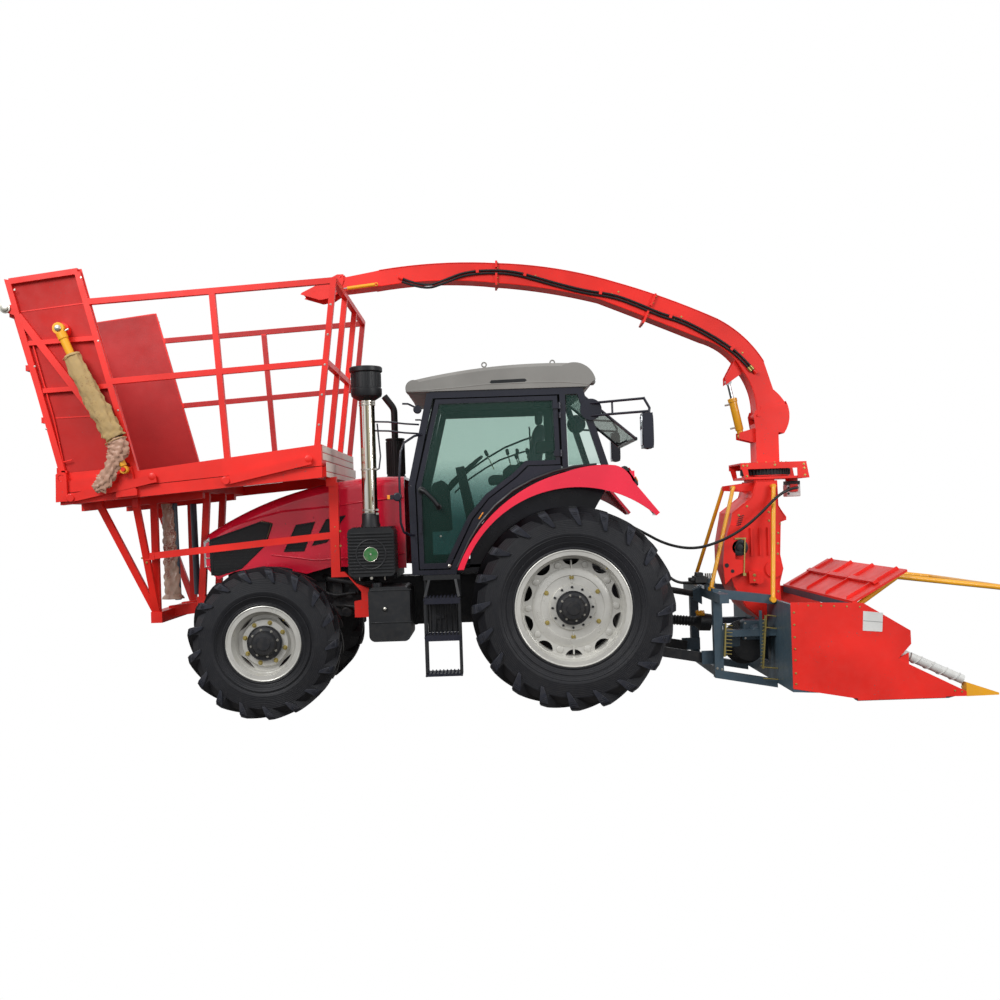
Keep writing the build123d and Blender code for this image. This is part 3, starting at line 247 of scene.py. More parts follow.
RED = finish("machine_red", (0.80, 0.016, 0.008), 0.44, coat=0.08, dust=0.02, wear=0.35, bump=0.10, grain=45)
# the side sheets' darker red is painted shade for their recess behind the tubes; its dust and wear are real
SHEET_RED_PAINTED_SHADE = finish("sheet_red_painted_shade", (0.47, 0.007, 0.004), 0.62, dust=0.05, wear=0.4, bump=0.12, grain=40,
                   slot="machine_red")
# the inner faces' darker red is painted shade for the bin's shaded inside; the perforation bump is real
PERFORATED_PAINTED_SHADE = finish("perforated_red_painted_shade", (0.46, 0.030, 0.030), 0.60, dust=0.04, bump=0.7, grain=120,
                    slot="machine_red")
CRIMSON = finish("tractor_red", (0.94, 0.010, 0.048), 0.22, coat=0.9, dust=0.02)
SLATE = finish("frame_grey", (0.052, 0.088, 0.118), 0.42, coat=0.1, dust=0.06, wear=0.5, bump=0.15)
CHASSIS = finish("chassis_grey", (0.013, 0.014, 0.017), 0.48, dust=0.06, bump=0.2)
IRON = finish("engine_iron", (0.016, 0.017, 0.020), 0.52, dust=0.10, bump=0.6, grain=30)
SILVER = finish("wheel_silver", (0.60, 0.59, 0.55), 0.32, metallic=0.35, dust=0.10, wear=0.2, bump=0.06)
NAVY = finish("cab_black", (0.009, 0.010, 0.020), 0.28, coat=0.3, dust=0.02)
BEIGE = finish("roof_beige", (0.235, 0.228, 0.212), 0.38, dust=0.04, bump=0.08, grain=120)
PLASTIC = finish("black_plastic", (0.011, 0.012, 0.014), 0.40, dust=0.03, bump=0.20, grain=220)
# the stack chrome's light and dark bands are painted reflections, set by the way each face points
CHROME_PAINTED_REFLECTIONS = reflection_painted_metal("stack_chrome", (
    (0.0, (0.12, 0.10, 0.07)), (1.0, (0.20, 0.16, 0.10)), (0.14, (0.62, 0.57, 0.42)),
    (0.26, (0.95, 0.93, 0.88)), (0.40, (0.90, 0.86, 0.74)), (0.50, (0.16, 0.13, 0.08)),
    (0.60, (0.55, 0.48, 0.30)), (0.74, (0.92, 0.88, 0.78)), (0.86, (0.14, 0.12, 0.08))))
HEATED = finish("exhaust_steel", (0.014, 0.013, 0.014), 0.42, metallic=0.4, bump=0.2)
YELLOW = finish("safety_yellow", (0.82, 0.37, 0.012), 0.36, coat=0.2, dust=0.06, wear=0.4)
WHITE = finish("auger_white", (0.62, 0.62, 0.60), 0.42, dust=0.15, wear=0.6, bump=0.1)
HOSE = finish("hose_black", (0.009, 0.009, 0.010), 0.36, dust=0.03, bump=0.3, grain=400)
finish("rod_chrome", (0.70, 0.70, 0.71), 0.12, metallic=1.0)
glazing("tinted_glass", (0.05, 0.14, 0.11), 0.14)
tyre_finish("tyre_front", at(-2680, 0, 655))
tyre_finish("tyre_rear", at(0, 0, 875))
ZINC = finish("zinc_bolt", (0.55, 0.53, 0.47), 0.32, metallic=0.9, dust=0.1, slot="rod_chrome")
BRASS = finish("yellow_zinc", (0.50, 0.40, 0.13), 0.35, metallic=0.8, dust=0.1, slot="rod_chrome")
MIRROR = finish("mirror_silver", (0.75, 0.78, 0.80), 0.03, metallic=1.0, slot="rod_chrome")
CANVAS = finish("old_canvas", (0.44, 0.30, 0.13), 0.92, dust=0.55, wear=1.6, bump=1.0, grain=26,
                under=(0.24, 0.13, 0.06), slot="auger_white")
TAIL = finish("torn_film", (0.46, 0.26, 0.18), 0.42, dust=0.6, wear=2.0, bump=1.0, grain=24,
              under=(0.26, 0.05, 0.03), slot="auger_white")
FILM = finish("cream_film", (0.52, 0.37, 0.28), 0.34, coat=0.3, dust=0.6, wear=3.6, bump=0.6, grain=12,
              under=(0.22, 0.015, 0.012), slot="auger_white")
# pale cream bands on the red rear faces of the deck and floor: painted reflection
CREAM_REFLECTION = finish("cream_reflection_bands", (0.84, 0.73, 0.64), 0.45, dust=0.15, wear=0.4, bump=0.2, grain=30,
               slot="auger_white")
PLATE = finish("blank_plate", (0.70, 0.70, 0.68), 0.35, dust=0.08, slot="auger_white")
LENS_RED = finish("lens_red", (0.45, 0.01, 0.01), 0.15, coat=0.9, slot="tractor_red")
LENS_AMBER = finish("lens_amber", (0.85, 0.28, 0.01), 0.15, coat=0.9, slot="safety_yellow")
LAMP = finish("lamp_clear", (0.62, 0.66, 0.68), 0.10, metallic=0.4, coat=1.0, slot="stack_chrome")
# the lugs' rubber is lighter and bluer than the tyre's: painted light on the lugs
LUG_LIT_RUBBER = finish("tyre_lugs", (0.015, 0.017, 0.026), 0.40, dust=0.05, bump=0.3, grain=70, slot="tyre_rubber")
LABEL = finish("label_green", (0.030, 0.17, 0.045), 0.35, dust=0.5, slot="black_plastic")
TRIM = finish("trim_dark", (0.020, 0.022, 0.024), 0.62, bump=0.2, grain=200, slot="black_plastic")
CLOTH = finish("seat_cloth", (0.06, 0.065, 0.075), 0.9, bump=0.6, grain=500, slot="black_plastic")
PALE_GREY = finish("plate_grey", (0.30, 0.30, 0.30), 0.5, slot="black_plastic")


# ---------------------------------------------------------------- hoses
# body, diameter, length and route, in millimetres: the routes are the ones that the CAD's tubes follow
HOSES = {
    "hose_loop": ("chassis", 26, 1276, [
        (300, -270, 1600), (500, -270, 1600), (690, -275, 1520), (810, -300, 1340), (880, -300, 1150),
        (1000, -285, 1020), (1140, -270, 1000), (1290, -270, 1000)]),
    "hose_slew": ("chassis", 26, 2388, [
        (300, -150, 1620), (500, -150, 1620), (720, -200, 1500), (930, -300, 1370), (1170, -400, 1320),
        (1400, -430, 1380), (1620, -430, 1490), (1800, -430, 1640), (1950, -430, 1790), (2080, -390, 1850),
        (2200, -280, 1860), (2200, -84, 1860)]),
    "hose_spout": ("spout_boom", 22, 3569, [
        (1845, -119, 2985), (1730, -119, 3128), (1560, -119, 3262), (1365, -119, 3385), (1169, -119, 3490),
        (985, -119, 3548), (800, -119, 3638), (553, -119, 3742), (290, -119, 3785), (30, -119, 3860),
        (-180, -119, 3928), (-390, -119, 3992), (-610, -119, 4012), (-860, -119, 4000), (-1060, -119, 3925),
        (-1240, -119, 3870), (-1440, -119, 3955)]),
}


def add_hose(name, body, diameter, length, route):
    """One smooth line with the route's points as its control points, thick as the hose."""
    curve = bpy.data.curves.new(f"{name}_line", "CURVE")
    curve.dimensions = "3D"
    curve.bevel_depth, curve.bevel_resolution, curve.use_fill_caps = diameter / 2000, 5, True
    line = curve.splines.new("NURBS")
    line.points.add(len(route) - 1)
    for point, place in zip(line.points, route):
        point.co = (*at(*place), 1)
    line.order_u, line.resolution_u = 3, 16
    line.use_endpoint_u = True
    curve.materials.append(HOSE.material)
    hose = add_object(f"{name}_rubber", curve)
    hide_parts(name)
    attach(hose, body)


def paint_frame():
    """Gives each CAD node the finish of its slot in the record."""
    for row in frame["record"]["subparts"]:
        name = row["material_slot"]
        if name == "tyre_rubber":
            name = "tyre_front" if "front" in row["node"] else "tyre_rear"
        materials = frame["nodes"][row["node"]].data.materials
        materials.clear()
        materials.append(LOOKS[name].material)


for name, row in HOSES.items():
    add_hose(name, *row)
paint_frame()


# ---------------------------------------------------------------- shapes
# A solid is a list of points, in the frame's metres, and a list of faces.
def woven(rings, rings_meet=False, lines_meet=True):
    """A net of four-sided faces over rings of points, each joined to the next ring and to its neighbours."""
    total, count = len(rings), len(rings[0])
    faces = []
    for i in range(total if rings_meet else total - 1):
        here, there = i * count, (i + 1) % total * count
        for k in range(count if lines_meet else count - 1):
            after = (k + 1) % count
            faces.append((here + k, there + k, there + after, here + after))
    return [point for ring_points in rings for point in ring_points], faces


def capped(rings):
    """A solid over rings of points, with its two ends closed."""
    points, faces = woven(rings)
    count = len(rings[0])
    return points, faces + [tuple(range(count)), tuple(range(len(points) - count, len(points)))]


def circle(count):
    """Angles that divide a circle evenly."""
    return [2 * math.pi * k / count for k in range(count)]


def plate(outline, y_from, y_to):
    """A plate with that (X, Z) outline, in millimetres, between two values of y."""
    return capped([[at(x, y, z) for x, z in outline] for y in (y_from, y_to)])


def block(low, high):
    (x0, y0, z0), (x1, y1, z1) = low, high
    return plate([(x0, z0), (x1, z0), (x1, z1), (x0, z1)], y0, y1)


def turned(profile, foot, axis, count=32, closed=False):
    """A body of revolution. profile holds (radius, distance along the axis from foot), in mm."""
    foot, axis = at(*foot), Vector(axis).normalized()
    across = axis.orthogonal().normalized()
    other = axis.cross(across)
    rings = []
    for turn in circle(count):
        out = across * math.cos(turn) + other * math.sin(turn)
        rings.append([foot + axis * h / 1000 + out * r / 1000 for r, h in profile])
    points, faces = woven(rings, rings_meet=True, lines_meet=closed)
    if not closed:
        rows = len(profile)
        faces += [tuple(range(end, len(points), rows)) for end in (0, rows - 1)]
    return points, faces


def rod(start, end, diameter, count=16, edge=0.08):
    """A round bar with softened ends."""
    axis = at(*end) - at(*start)
    length, r = axis.length * 1000, diameter / 2
    soft = min(edge * diameter, length / 3)
    return turned([(r - soft, 0), (r, soft), (r, length - soft), (r - soft, length)], start, axis, count)


def ring(centre, axis, radius, thick, count=48, sides=10):
    """A torus."""
    section = [(radius + thick / 2 * math.cos(a), thick / 2 * math.sin(a)) for a in circle(sides)]
    return turned(section, centre, axis, count, closed=True)


def bolts(places, axis, size, head):
    """Hexagon heads, each with a washer under it."""
    solids = []
    for place in places:
        solids += [turned([(0.95 * size, 0), (0.95 * size, 2.5), (0.6 * size, 2.6)], place, axis, 12),
                   turned([(0.6 * size, 2), (0.6 * size, head), (0.5 * size, head + 2)], place, axis, 6)]
    return solids


def tube(points, diameter, count=10, closed=False):
    """A round tube along points in millimetres."""
    line = [at(*p) for p in points]
    total, side, rings = len(line), None, []
    for i, p in enumerate(line):
        before = line[i - 1] if i or closed else p
        after = line[(i + 1) % total] if i < total - 1 or closed else p
        along = (after - before).normalized()
        side = along.orthogonal() if side is None else side - along * side.dot(along)
        side.normalize()
        other = along.cross(side)
        rings.append([p + (side * math.cos(a) + other * math.sin(a)) * diameter / 2000
                      for a in circle(count)])
    return woven(rings, rings_meet=True) if closed else capped(rings)


def piece(name, look, solids, body="chassis", bevel=0.0, angle=35):
    """One object of those solids: faces look outwards, long edges are softened, round faces are smooth."""
    points, faces = [], []
    for more_points, more_faces in solids:
        first = len(points)
        points += more_points
        faces += [tuple(first + i for i in face) for face in more_faces]
    mesh = bpy.data.meshes.new(name)
    mesh.from_pydata([tuple(p) for p in points], [], faces)
    mesh.materials.append(look.material)
    obj = add_object(name, mesh)
    bpy.context.view_layer.objects.active = obj
    obj.select_set(True)
    bpy.ops.object.mode_set(mode="EDIT")
    bpy.ops.mesh.select_all(action="SELECT")
    bpy.ops.mesh.normals_make_consistent(inside=False)
    bpy.ops.object.mode_set(mode="OBJECT")
    if bevel:
        soften = obj.modifiers.new("edges", "BEVEL")
        soften.width, soften.segments, soften.limit_method = bevel / 1000, 2, "ANGLE"
    bpy.ops.object.shade_smooth_by_angle(angle=math.radians(angle))
    obj.select_set(False)
    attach(obj, body)
    return obj


def arc_points(centre, radius, start, end, steps):
    """(X, Z) points on an arc, in degrees up from +X."""
    turns = [math.radians(start + (end - start) * i / steps) for i in range(steps + 1)]
    return [(centre[0] + radius * math.cos(a), centre[1] + radius * math.sin(a)) for a in turns]


def around(x, y, radius, step):
    """(X, Y) of places on a circle, every step degrees."""
    turns = [math.radians(turn) for turn in range(0, 360, step)]
    return [(x + radius * math.cos(a), y + radius * math.sin(a)) for a in turns]


def on_side(outline, y):
    """The (X, Z) outline's points at that y."""
    return [(x, y, z) for x, z in outline]


def mirrored(points, sign):
    """Points of the machine's right side, on the side that has that sign."""
    return [(x, y * sign, z) for x, y, z in points]


def shrunk(outline, share):
    """The outline drawn in towards its middle."""
    cx = sum(x for x, z in outline) / len(outline)
    cz = sum(z for x, z in outline) / len(outline)
    return [(cx + (x - cx) * share, cz + (z - cz) * share) for x, z in outline]


def framed(outline, share, y_from, y_to):
    """A flat frame that follows the outline."""
    inner, count = shrunk(outline, share), len(outline)
    return [plate([outline[i], outline[(i + 1) % count], inner[(i + 1) % count], inner[i]], y_from, y_to)
            for i in range(count)]


def slats(outline, count, first, step, tall, y_from, y_to):
    """Level bars across the outline, from the height first upwards."""
    bars = []
    for z in [first + row * step for row in range(count)]:
        crossings = []
        for (x0, z0), (x1, z1) in zip(outline, outline[1:] + outline[:1]):
            if (z0 - z) * (z1 - z) < 0:
                crossings.append(x0 + (x1 - x0) * (z - z0) / (z1 - z0))
        crossings = crossings or [outline[0][0], outline[0][0] + 1]  # a stub, clear of the outline
        bars.append(block((min(crossings), y_from, z), (max(crossings), y_to, z + tall)))
    return bars


# ---------------------------------------------------------------- wheels
# axle X and height, track, outer face of the disc, disc radius, hub cover radius and reach, bead radius,
# outer edge of the rim, ring of disc bolts, radius of the hub bolts, tyre's widest radius, lugs in a row,
# lug's width, half of the tyre's width
WHEELS = {
    "front": SimpleNamespace(x=-2680, z=655, y=860, face=46, disc=214, hub=150, reach=124, bead=305,
                             edge=163, bolts=(178, 8), hub_bolts=116, wall=452, lugs=17, lug=54, half=189),
    "rear": SimpleNamespace(x=0, z=875, y=867, face=54, disc=350, hub=146, reach=154, bead=483,
                            edge=199, bolts=(258, 6), hub_bolts=109, wall=665, lugs=20, lug=62, half=233.5),
}


def polar(wheel, sign, radius, degrees, out):
    """A point on a wheel: radius and angle about its axle, and distance outwards from its middle."""
    a = math.radians(degrees)
    return (wheel.x + radius * math.cos(a), sign * (wheel.y + out), wheel.z + radius * math.sin(a))


def add_lugs(axle, side, sign):
    """The bars' ends: they wrap over the shoulder, taper down the wall and have three short ribs each."""
    wheel = WHEELS[axle]
    top, half, width = wheel.z, wheel.half, wheel.lug
    # radius, distance out, width and lag behind the bar's middle, from the tread to the wall
    stations = ((top - 3, 0.88 * half, 1.20 * width, 0.0), (0.965 * top, 1.02 * half, 1.25 * width, 4.0),
                (0.90 * top, 1.055 * half, 1.0 * width, 16.0), (0.82 * top, 1.03 * half, 0.45 * width, 36.0))
    lag, root = 0.52 * half + width / 2, 0.70 * half
    rib = ((0, 0.30), (0, -0.30), (5, -0.30), (5, 0.30))  # drop, and reach as a share of the bar's width
    solids = []
    for number in range(wheel.lugs):
        angle = math.radians((number + 0.5) * 360 / wheel.lugs)

        def spot(radius, along, out):
            return at(*polar(wheel, sign, radius, math.degrees(angle + along / radius), out))

        bar = []
        for radius, out, wide, behind in stations:
            low, high = -(lag + behind) - wide / 2, -(lag + behind) + wide / 2
            bar.append([spot(radius, high, out), spot(radius, low, out), spot(radius - 6, low, root),
                        spot(radius - 6, high, root)])
        solids.append(capped(bar))
        for step in (0, 1, 2):
            radius = (0.945 - 0.017 * step) * top
            corners = [(radius - drop, reach * width - (lag + 8)) for drop, reach in rib]
            points, faces = woven([[spot(*corner, out) for corner in corners]
                                   for out in (1.07 * half, 0.9 * half)])
            solids.append((points, faces + [(0, 1, 2, 3)]))
    piece(f"tyre_lugs_{axle}_{side}", LUG_LIT_RUBBER, solids, f"wheel_{axle}_{side}", bevel=5)


def add_wheel(axle, side, sign):
    wheel = WHEELS[axle]
    face, disc, hub, reach = wheel.face, wheel.disc, wheel.hub, wheel.reach
    bead, edge, wall = wheel.bead, wheel.edge, wheel.wall
    body, axis, rear = f"wheel_{axle}_{side}", (0, sign, 0), axle == "rear"
    middle = (wheel.x, sign * wheel.y, wheel.z)

    def spot(radius, degrees, out):
        return polar(wheel, sign, radius, degrees, out)

    def rings(rows, count):
        return [ring(spot(0, 0, out), axis, radius, thick, count, 8) for radius, out, thick in rows]

    dish = [turned([(hub - 5, face - 2), (hub - 5, face + 38), (hub + 48, face + 36), (hub + 52, face + 24),
                    (hub + 62, face + 12), (0.78 * disc, face + 10), (0.80 * disc, face + 18),
                    (0.93 * disc, face + 14), (disc, face + 2), (disc, face - 2)],
                   middle, axis, 64, closed=True)]
    if rear:
        dish += [rod(spot(low, a, face + out), spot(high, a, face + out), 16, 8)
                 for a in (90, 270) for low, high, out in ((208, 280, 12), (300, 412, 4))]
        dish += [turned([(30, 0), (26, 8), (12, 10)], spot(384, a, face), axis, 20)
                 for a in range(36, 378, 36)]
    piece(f"dish_{axle}_{side}", SILVER, dish, body)
    piece(f"rim_rings_{axle}_{side}", SILVER,
          rings(((bead + 16, edge - 2, 16), (bead - 22, edge - 8, 9), (bead - 44, edge - 62, 8)), 64), body)
    piece(f"tyre_lips_{axle}_{side}", LOOKS[f"tyre_{axle}"],
          rings(((bead + 34, edge - 8, 22), (wall - 44, edge + 26, 9), (wall - 96, edge + 23, 6)), 72), body)
    add_lugs(axle, side, sign)
    cover = turned([(hub, face + 30), (hub, reach - 20), (hub - 12, reach - 4), (0.78 * hub, reach),
                    (0.74 * hub, reach + 3), (0.72 * hub, reach + 12), (0.62 * hub, reach + 34),
                    (0.42 * hub, reach + 38), (0.38 * hub, reach + 46), (0.20 * hub, reach + 47)],
                   middle, axis, 40)
    piece(f"hub_{axle}_{side}", CHASSIS, [cover, *rings([(hub - 2, reach - 12, 10)], 40)], body)
    places = [spot(wheel.hub_bolts, number * 45 + 12, reach - 2) for number in range(8)]
    piece(f"hub_bolts_{axle}_{side}", ZINC, bolts(places, axis, 13, 13), body)
    if rear:
        nuts = [turned([(11, 0), (11, 10), (7, 14)], spot(176, a, face + 35), axis, 8)
                for a in range(0, 360, 30)]
        piece(f"hub_nuts_{side}", CHASSIS, nuts, body)
    radius, count = wheel.bolts
    out = face + (10 if rear else 36)
    places = [spot(radius, number * 360 / count + 30, out) for number in range(count)]
    valve = rod(spot(bead - 34, 48, edge - 60), spot(bead - 40, 48, edge - 14), 12, 10)
    piece(f"disc_bolts_{axle}_{side}", BRASS, [*bolts(places, axis, 22, 18), valve], body)


for axle in WHEELS:
    for side, sign in SIDES:
        add_wheel(axle, side, sign)


# ---------------------------------------------------------------- stacks and air filter
def add_stacks():
    x, y = -1750, -750
    foot = (x, y, 0)
    bowl = [(69, 2745), (78, 2750), (132, 2784), (138, 2806), (138, 2850), (130, 2858), (130, 2992),
            (140, 2996), (146, 3004), (146, 3034), (138, 3044), (70, 3054), (0.5, 3055)]
    wires = [rod((px, py, 2866), (px, py, 2984), 7, 6) for px, py in around(x, y, 131, 20)]
    piece("precleaner", PLASTIC, [turned(bowl, foot, UPWARDS, 48), *wires])
    piece("intake_sleeve", PLASTIC, [turned([(86, 1612), (86, 1640), (78, 1668), (76, 1742), (71, 1750),
                                             (71, 1756)], foot, UPWARDS, 40)])
    bands = []
    for z in (1736, 1770, 2130, 2700, 2722):
        bands += [turned([(68, z), (72, z + 1), (72, z + 15), (68, z + 16)], foot, UPWARDS, 40),
                  block((x + 60, y - 84, z), (x + 82, y - 64, z + 16))]
    piece("intake_bands", ZINC, bands)
    stays = [tube([(-1684, y, z), (-1560, -770, z - 8), (-1420, -786, z - 30), (-1290, -786, z - 42)], 16, 8)
             for z in (2560, 2480)]
    hook = tube([(-1662, -770, 2540), (-1640, -790, 2250), (-1655, -800, 2140), (-1690, -790, 2126)], 14, 8)
    piece("stack_stays", NAVY, [*stays, hook])
    x, y = -1625, 600
    piece("exhaust_details", HEATED, [
        *[turned([(88, z), (98, z + 2), (98, z + 16), (88, z + 18)], (x, y, 0), UPWARDS)
          for z in (2104, 2480)],
        *[rod((px, py, 2140), (px, py, 2470), 9, 6) for px, py in around(x, y, 92, 15)]])


def add_filter():
    x, z = -1735, 1392
    ribs = []
    for row in range(13):
        low, inset = 1232 + row * 28, 12 if row in (0, 12) else 0
        ribs += [block((-1928 + inset, -962, low), (-1540 - inset, -948, low + 13)),
                 block((-1541, -938, low), (-1528, -604, low + 13)),
                 block((-1941, -938, low), (-1934, -604, low + 13))]
    ribs += [block((rib, -940, 1618), (rib + 12, -610, 1630)) for rib in range(-1900, -1560, 26)]
    piece("filter_ribs", PLASTIC, [*ribs, ring((x, -956, z), RIGHTWARDS, 128, 18, 40, 8)], bevel=2)
    piece("filter_label", LABEL, [turned([(58, -969), (62, -965), (62, -955)], (x, 0, z), RIGHTWARDS)])
    piece("filter_label_ring", ZINC, [ring((x, -966, z), RIGHTWARDS, 62, 5, 40, 8),
                                      turned([(9, 0), (9, 3), (5, 4)], (x, -968, z), LEFTWARDS, 16)])
    clips = [tube([(clip, -940, 1200), (clip, -962, 1190), (clip, -960, 1170), (clip, -920, 1166)], 8, 6)
             for clip in (-1840, -1620)]
    piece("filter_clips", ZINC, [*clips, rod((x, -940, 1186), (x, -970, 1186), 26, 12)])


add_stacks()
add_filter()


# ---------------------------------------------------------------- bonnet
GRILLE = [(-3256, 1240), (-3266, 1556), (-2783, 1712), (-2690, 1690), (-2755, 1487), (-2976, 1284),
          (-3180, 1226)]
VENTS = [[(-2588, 1424), (-2470, 1664), (-2292, 1690), (-2401, 1424)],
         [(-2330, 1470), (-2192, 1706), (-2010, 1738), (-2190, 1500)]]
CREASES = (([(-3150, 1650), (-2783, 1752), (-2576, 1796), (-2139, 1824), (-1834, 1862), (-1480, 1890)], 18),
           ([(-2700, 1400), (-2300, 1340), (-1800, 1352), (-1480, 1376)], 16))


def add_bonnet_side(side, sign):
    trim = framed(GRILLE, 0.92, sign * 434, sign * 448)
    mesh = [plate(shrunk(GRILLE, 0.95), sign * 434, sign * 441),
            *slats(shrunk(GRILLE, 0.92), 15, 1262, 29, 9, sign * 438, sign * 445)]
    for outline in VENTS:
        inner = shrunk(outline, 0.84)
        trim += [plate(outline, sign * 436, sign * 443), *framed(outline, 0.86, sign * 438, sign * 450)]
        mesh += slats(inner, 9, inner[0][1] + 14, 27, 10, sign * 440, sign * 448)
    piece(f"grille_trim_{side}", PLASTIC, trim, bevel=3)
    piece(f"grille_mesh_{side}", PLASTIC, mesh)
    piece(f"grille_edge_{side}", CHROME_PAINTED_REFLECTIONS, [tube(on_side(GRILLE[2:5], sign * 448), 16, 8)])
    piece(f"bonnet_crease_{side}", CRIMSON, [tube(on_side(line, sign * 441), size, 8)
                                             for line, size in CREASES])
    lamp = [(-3322, 1300), (-3322, 1540), (-3270, 1580), (-3255, 1500), (-3262, 1300)]
    piece(f"headlamp_{side}", LAMP, [plate(lamp, sign * 340, sign * 436)], bevel=8)
    trims = [mirrored([(-3326, 330, z), (-3326, 400, z), (-3300, 441, z), (-3262, 446, z)], sign)
             for z in (1310, 1390, 1470, 1545)]
    piece(f"headlamp_trim_{side}", CHROME_PAINTED_REFLECTIONS, [tube(line, 10, 8) for line in trims])


def add_bonnet_front():
    piece("front_grille", PLASTIC, [
        *[block((-3300, -296, z), (-3262, 296, z + 10)) for z in range(1288, 1574, 26)],
        *[block((-3292, y - 5, 1284), (-3262, y + 5, 1576)) for y in range(-200, 201, 100)]])
    bars = [block((-3312, -310, z), (-3296, 310, z + 18)) for z in (1370, 1480)]
    piece("front_bars", CHROME_PAINTED_REFLECTIONS, bars, bevel=4)


for side, sign in SIDES:
    add_bonnet_side(side, sign)
add_bonnet_front()


# ---------------------------------------------------------------- cab
CAB_RAIL = [(-1272, 790, 2430), (-1330, 880, 2412), (-1415, 970, 2350), (-1446, 995, 2270),
            (-1463, 1000, 2060), (-1463, 1000, 1660), (-1440, 980, 1575), (-1395, 880, 1548),
            (-1366, 790, 1545)]
MIRROR_ARM = [(-1300, 812, 2660), (-1380, 830, 2700), (-1430, 836, 2702)]
ROOF_SLOT = [(-655, 2868), (-640, 2886), (-345, 2892), (-328, 2878), (-345, 2864), (-640, 2858)]
ROOF_LIP = [(-1372, 2816), (-1220, 2818), (-900, 2836), (-700, 2852), (-300, 2856), (0, 2850), (215, 2826)]
DOOR_GRIP = [(-1290, 800, 1932), (-1284, 836, 1938), (-1256, 846, 1926), (-1190, 848, 1856),
             (-1148, 844, 1800), (-1140, 820, 1786), (-1142, 800, 1784)]
DOOR_EDGE = [(-1345, 1235), (-1352, 1985), (-1150, 2775), (-45, 2775), (-34, 2110), (-350, 2110),
             (-455, 2014), (-700, 1830), (-850, 1650), (-1050, 1235)]
FENDER_EDGE = [(-990, 1250), (-880, 1478), (-780, 1632), (-640, 1782), (-480, 1908), (-300, 2000),
               (-120, 2062), (60, 2100), (260, 2112)]


def add_cab_outside(side, sign):
    axis = (0, sign, 0)
    piece(f"cab_trim_{side}", NAVY, [
        tube(mirrored(CAB_RAIL, sign), 22, 10),
        turned([(30, 0), (38, 8), (38, 46), (30, 54)], (-1484, 976 * sign, 1882), axis, 24),
        block((-1545, 976 * sign, 1862), (-1484, 1022 * sign, 1902)),
        rod((-1300, 780 * sign, 2650), (-1300, 824 * sign, 2650), 74, 20),
        tube(mirrored(MIRROR_ARM, sign), 18, 8)], bevel=2)
    piece(f"roof_slot_{side}", PLASTIC, [plate(ROOF_SLOT, 803 * sign, 807 * sign)])
    piece(f"roof_lip_{side}", BEIGE, [tube(on_side(ROOF_LIP, 801 * sign), 14, 8)])
    piece(f"rail_lamp_{side}", LENS_AMBER, [block((-1572, 980 * sign, 1864), (-1546, 1018 * sign, 1900))],
          bevel=3)


def add_work_lamps():
    lamps = []
    for y in (-560, 560):
        lamps += [block((-1411, y - 78, 2828), (-1404, y + 78, 2866)),
                  block((289, y - 78, 2856), (295, y + 78, 2894))]
    piece("work_lamps", LAMP, lamps, bevel=2)


def add_mirror_head(side, sign):
    """A moulded back with rounded corners that closes in towards its middle, and the glass before it."""
    y_middle, corner = sign * 1175, 0.55
    rings = []
    for reach, out in [(0, 0), (30, 4), (44, 22), (47, 45), (44, 74), (32, 92), (0, 96)]:
        share, points = reach / 47, []
        for a in circle(40):
            y = math.copysign(abs(math.cos(a)) ** corner, math.cos(a)) * 74 * (0.25 + 0.75 * share)
            z = math.copysign(abs(math.sin(a)) ** corner, math.sin(a)) * 158 * (0.55 + 0.45 * share)
            points.append(at(620 + out, y_middle + y, 2370 + z))
        rings.append(points)
    piece(f"mirror_head_{side}", PLASTIC, [capped(rings)], angle=60)
    piece(f"mirror_glass_{side}", MIRROR, [block((612, y_middle - 56, 2246), (618, y_middle + 56, 2494))],
          bevel=8)


def add_rear_window():
    """The edges of the hinged rear window, which stands open, and its handle."""
    piece("rear_window_edges", NAVY, [
        *[tube([(156, y, 2763), (640, y, 2343)], 26, 8) for y in (-612, 612)],
        tube([(640, -620, 2343), (640, 620, 2343)], 34, 8),
        tube([(628, -90, 2360), (560, -90, 2330), (520, -90, 2345)], 18, 8)])


def add_door_fittings(side, sign):
    body, axis, face = f"{side}_door", (0, sign, 0), 798 * sign
    piece(f"door_grip_{side}", PLASTIC, [
        tube(mirrored(DOOR_GRIP, sign), 38, 12),
        turned([(34, 0), (34, 8), (26, 12)], (-1286, face, 1935), axis, 24),
        turned([(26, 0), (26, 8), (20, 12)], (-1142, face, 1786), axis, 24)], body)
    face = 797 * sign
    piece(f"door_knobs_{side}", ZINC, [
        turned([(15, 0), (15, 5), (9, 9)], (-1062, face, 1262), axis, 16),
        turned([(9, 0), (9, 26), (6, 30)], (-1130, face, 1527), axis, 12)], body)
    piece(f"door_hinges_{side}", NAVY, [rod((-48, 806 * sign, z - 26), (-48, 806 * sign, z + 26), 21, 14)
                                        for z in (1500, 2000, 2560)], body)


# (X, Z) outline, and the two values of y
CUSHIONS = (
    ([(-690, 1985), (-700, 2045), (-660, 2072), (-250, 2066), (-215, 2040), (-220, 1985)], -235, 235),
    ([(-300, 2060), (-330, 2110), (-250, 2500), (-200, 2535), (-155, 2520), (-150, 2470), (-205, 2060)],
     -235, 235),
    ([(-225, 2545), (-232, 2640), (-200, 2668), (-160, 2640), (-165, 2545)], -120, 120))
CONSOLES = (
    ([(-1240, 1560), (-1255, 1900), (-1215, 2010), (-1130, 2040), (-1075, 1990), (-1060, 1560)], -260, 260),
    ([(-560, 1560), (-560, 2100), (-500, 2150), (-120, 2130), (-100, 1560)], -520, -330),
    ([(-420, 1560), (-420, 2180), (-380, 2215), (-90, 2200), (-90, 1560)], 330, 520),
    ([(-268, 2232), (-262, 2338), (-10, 2352), (-5, 2240)], -700, -640),
    ([(-280, 2660), (-270, 2735), (-30, 2722), (-26, 2640)], -610, -590))
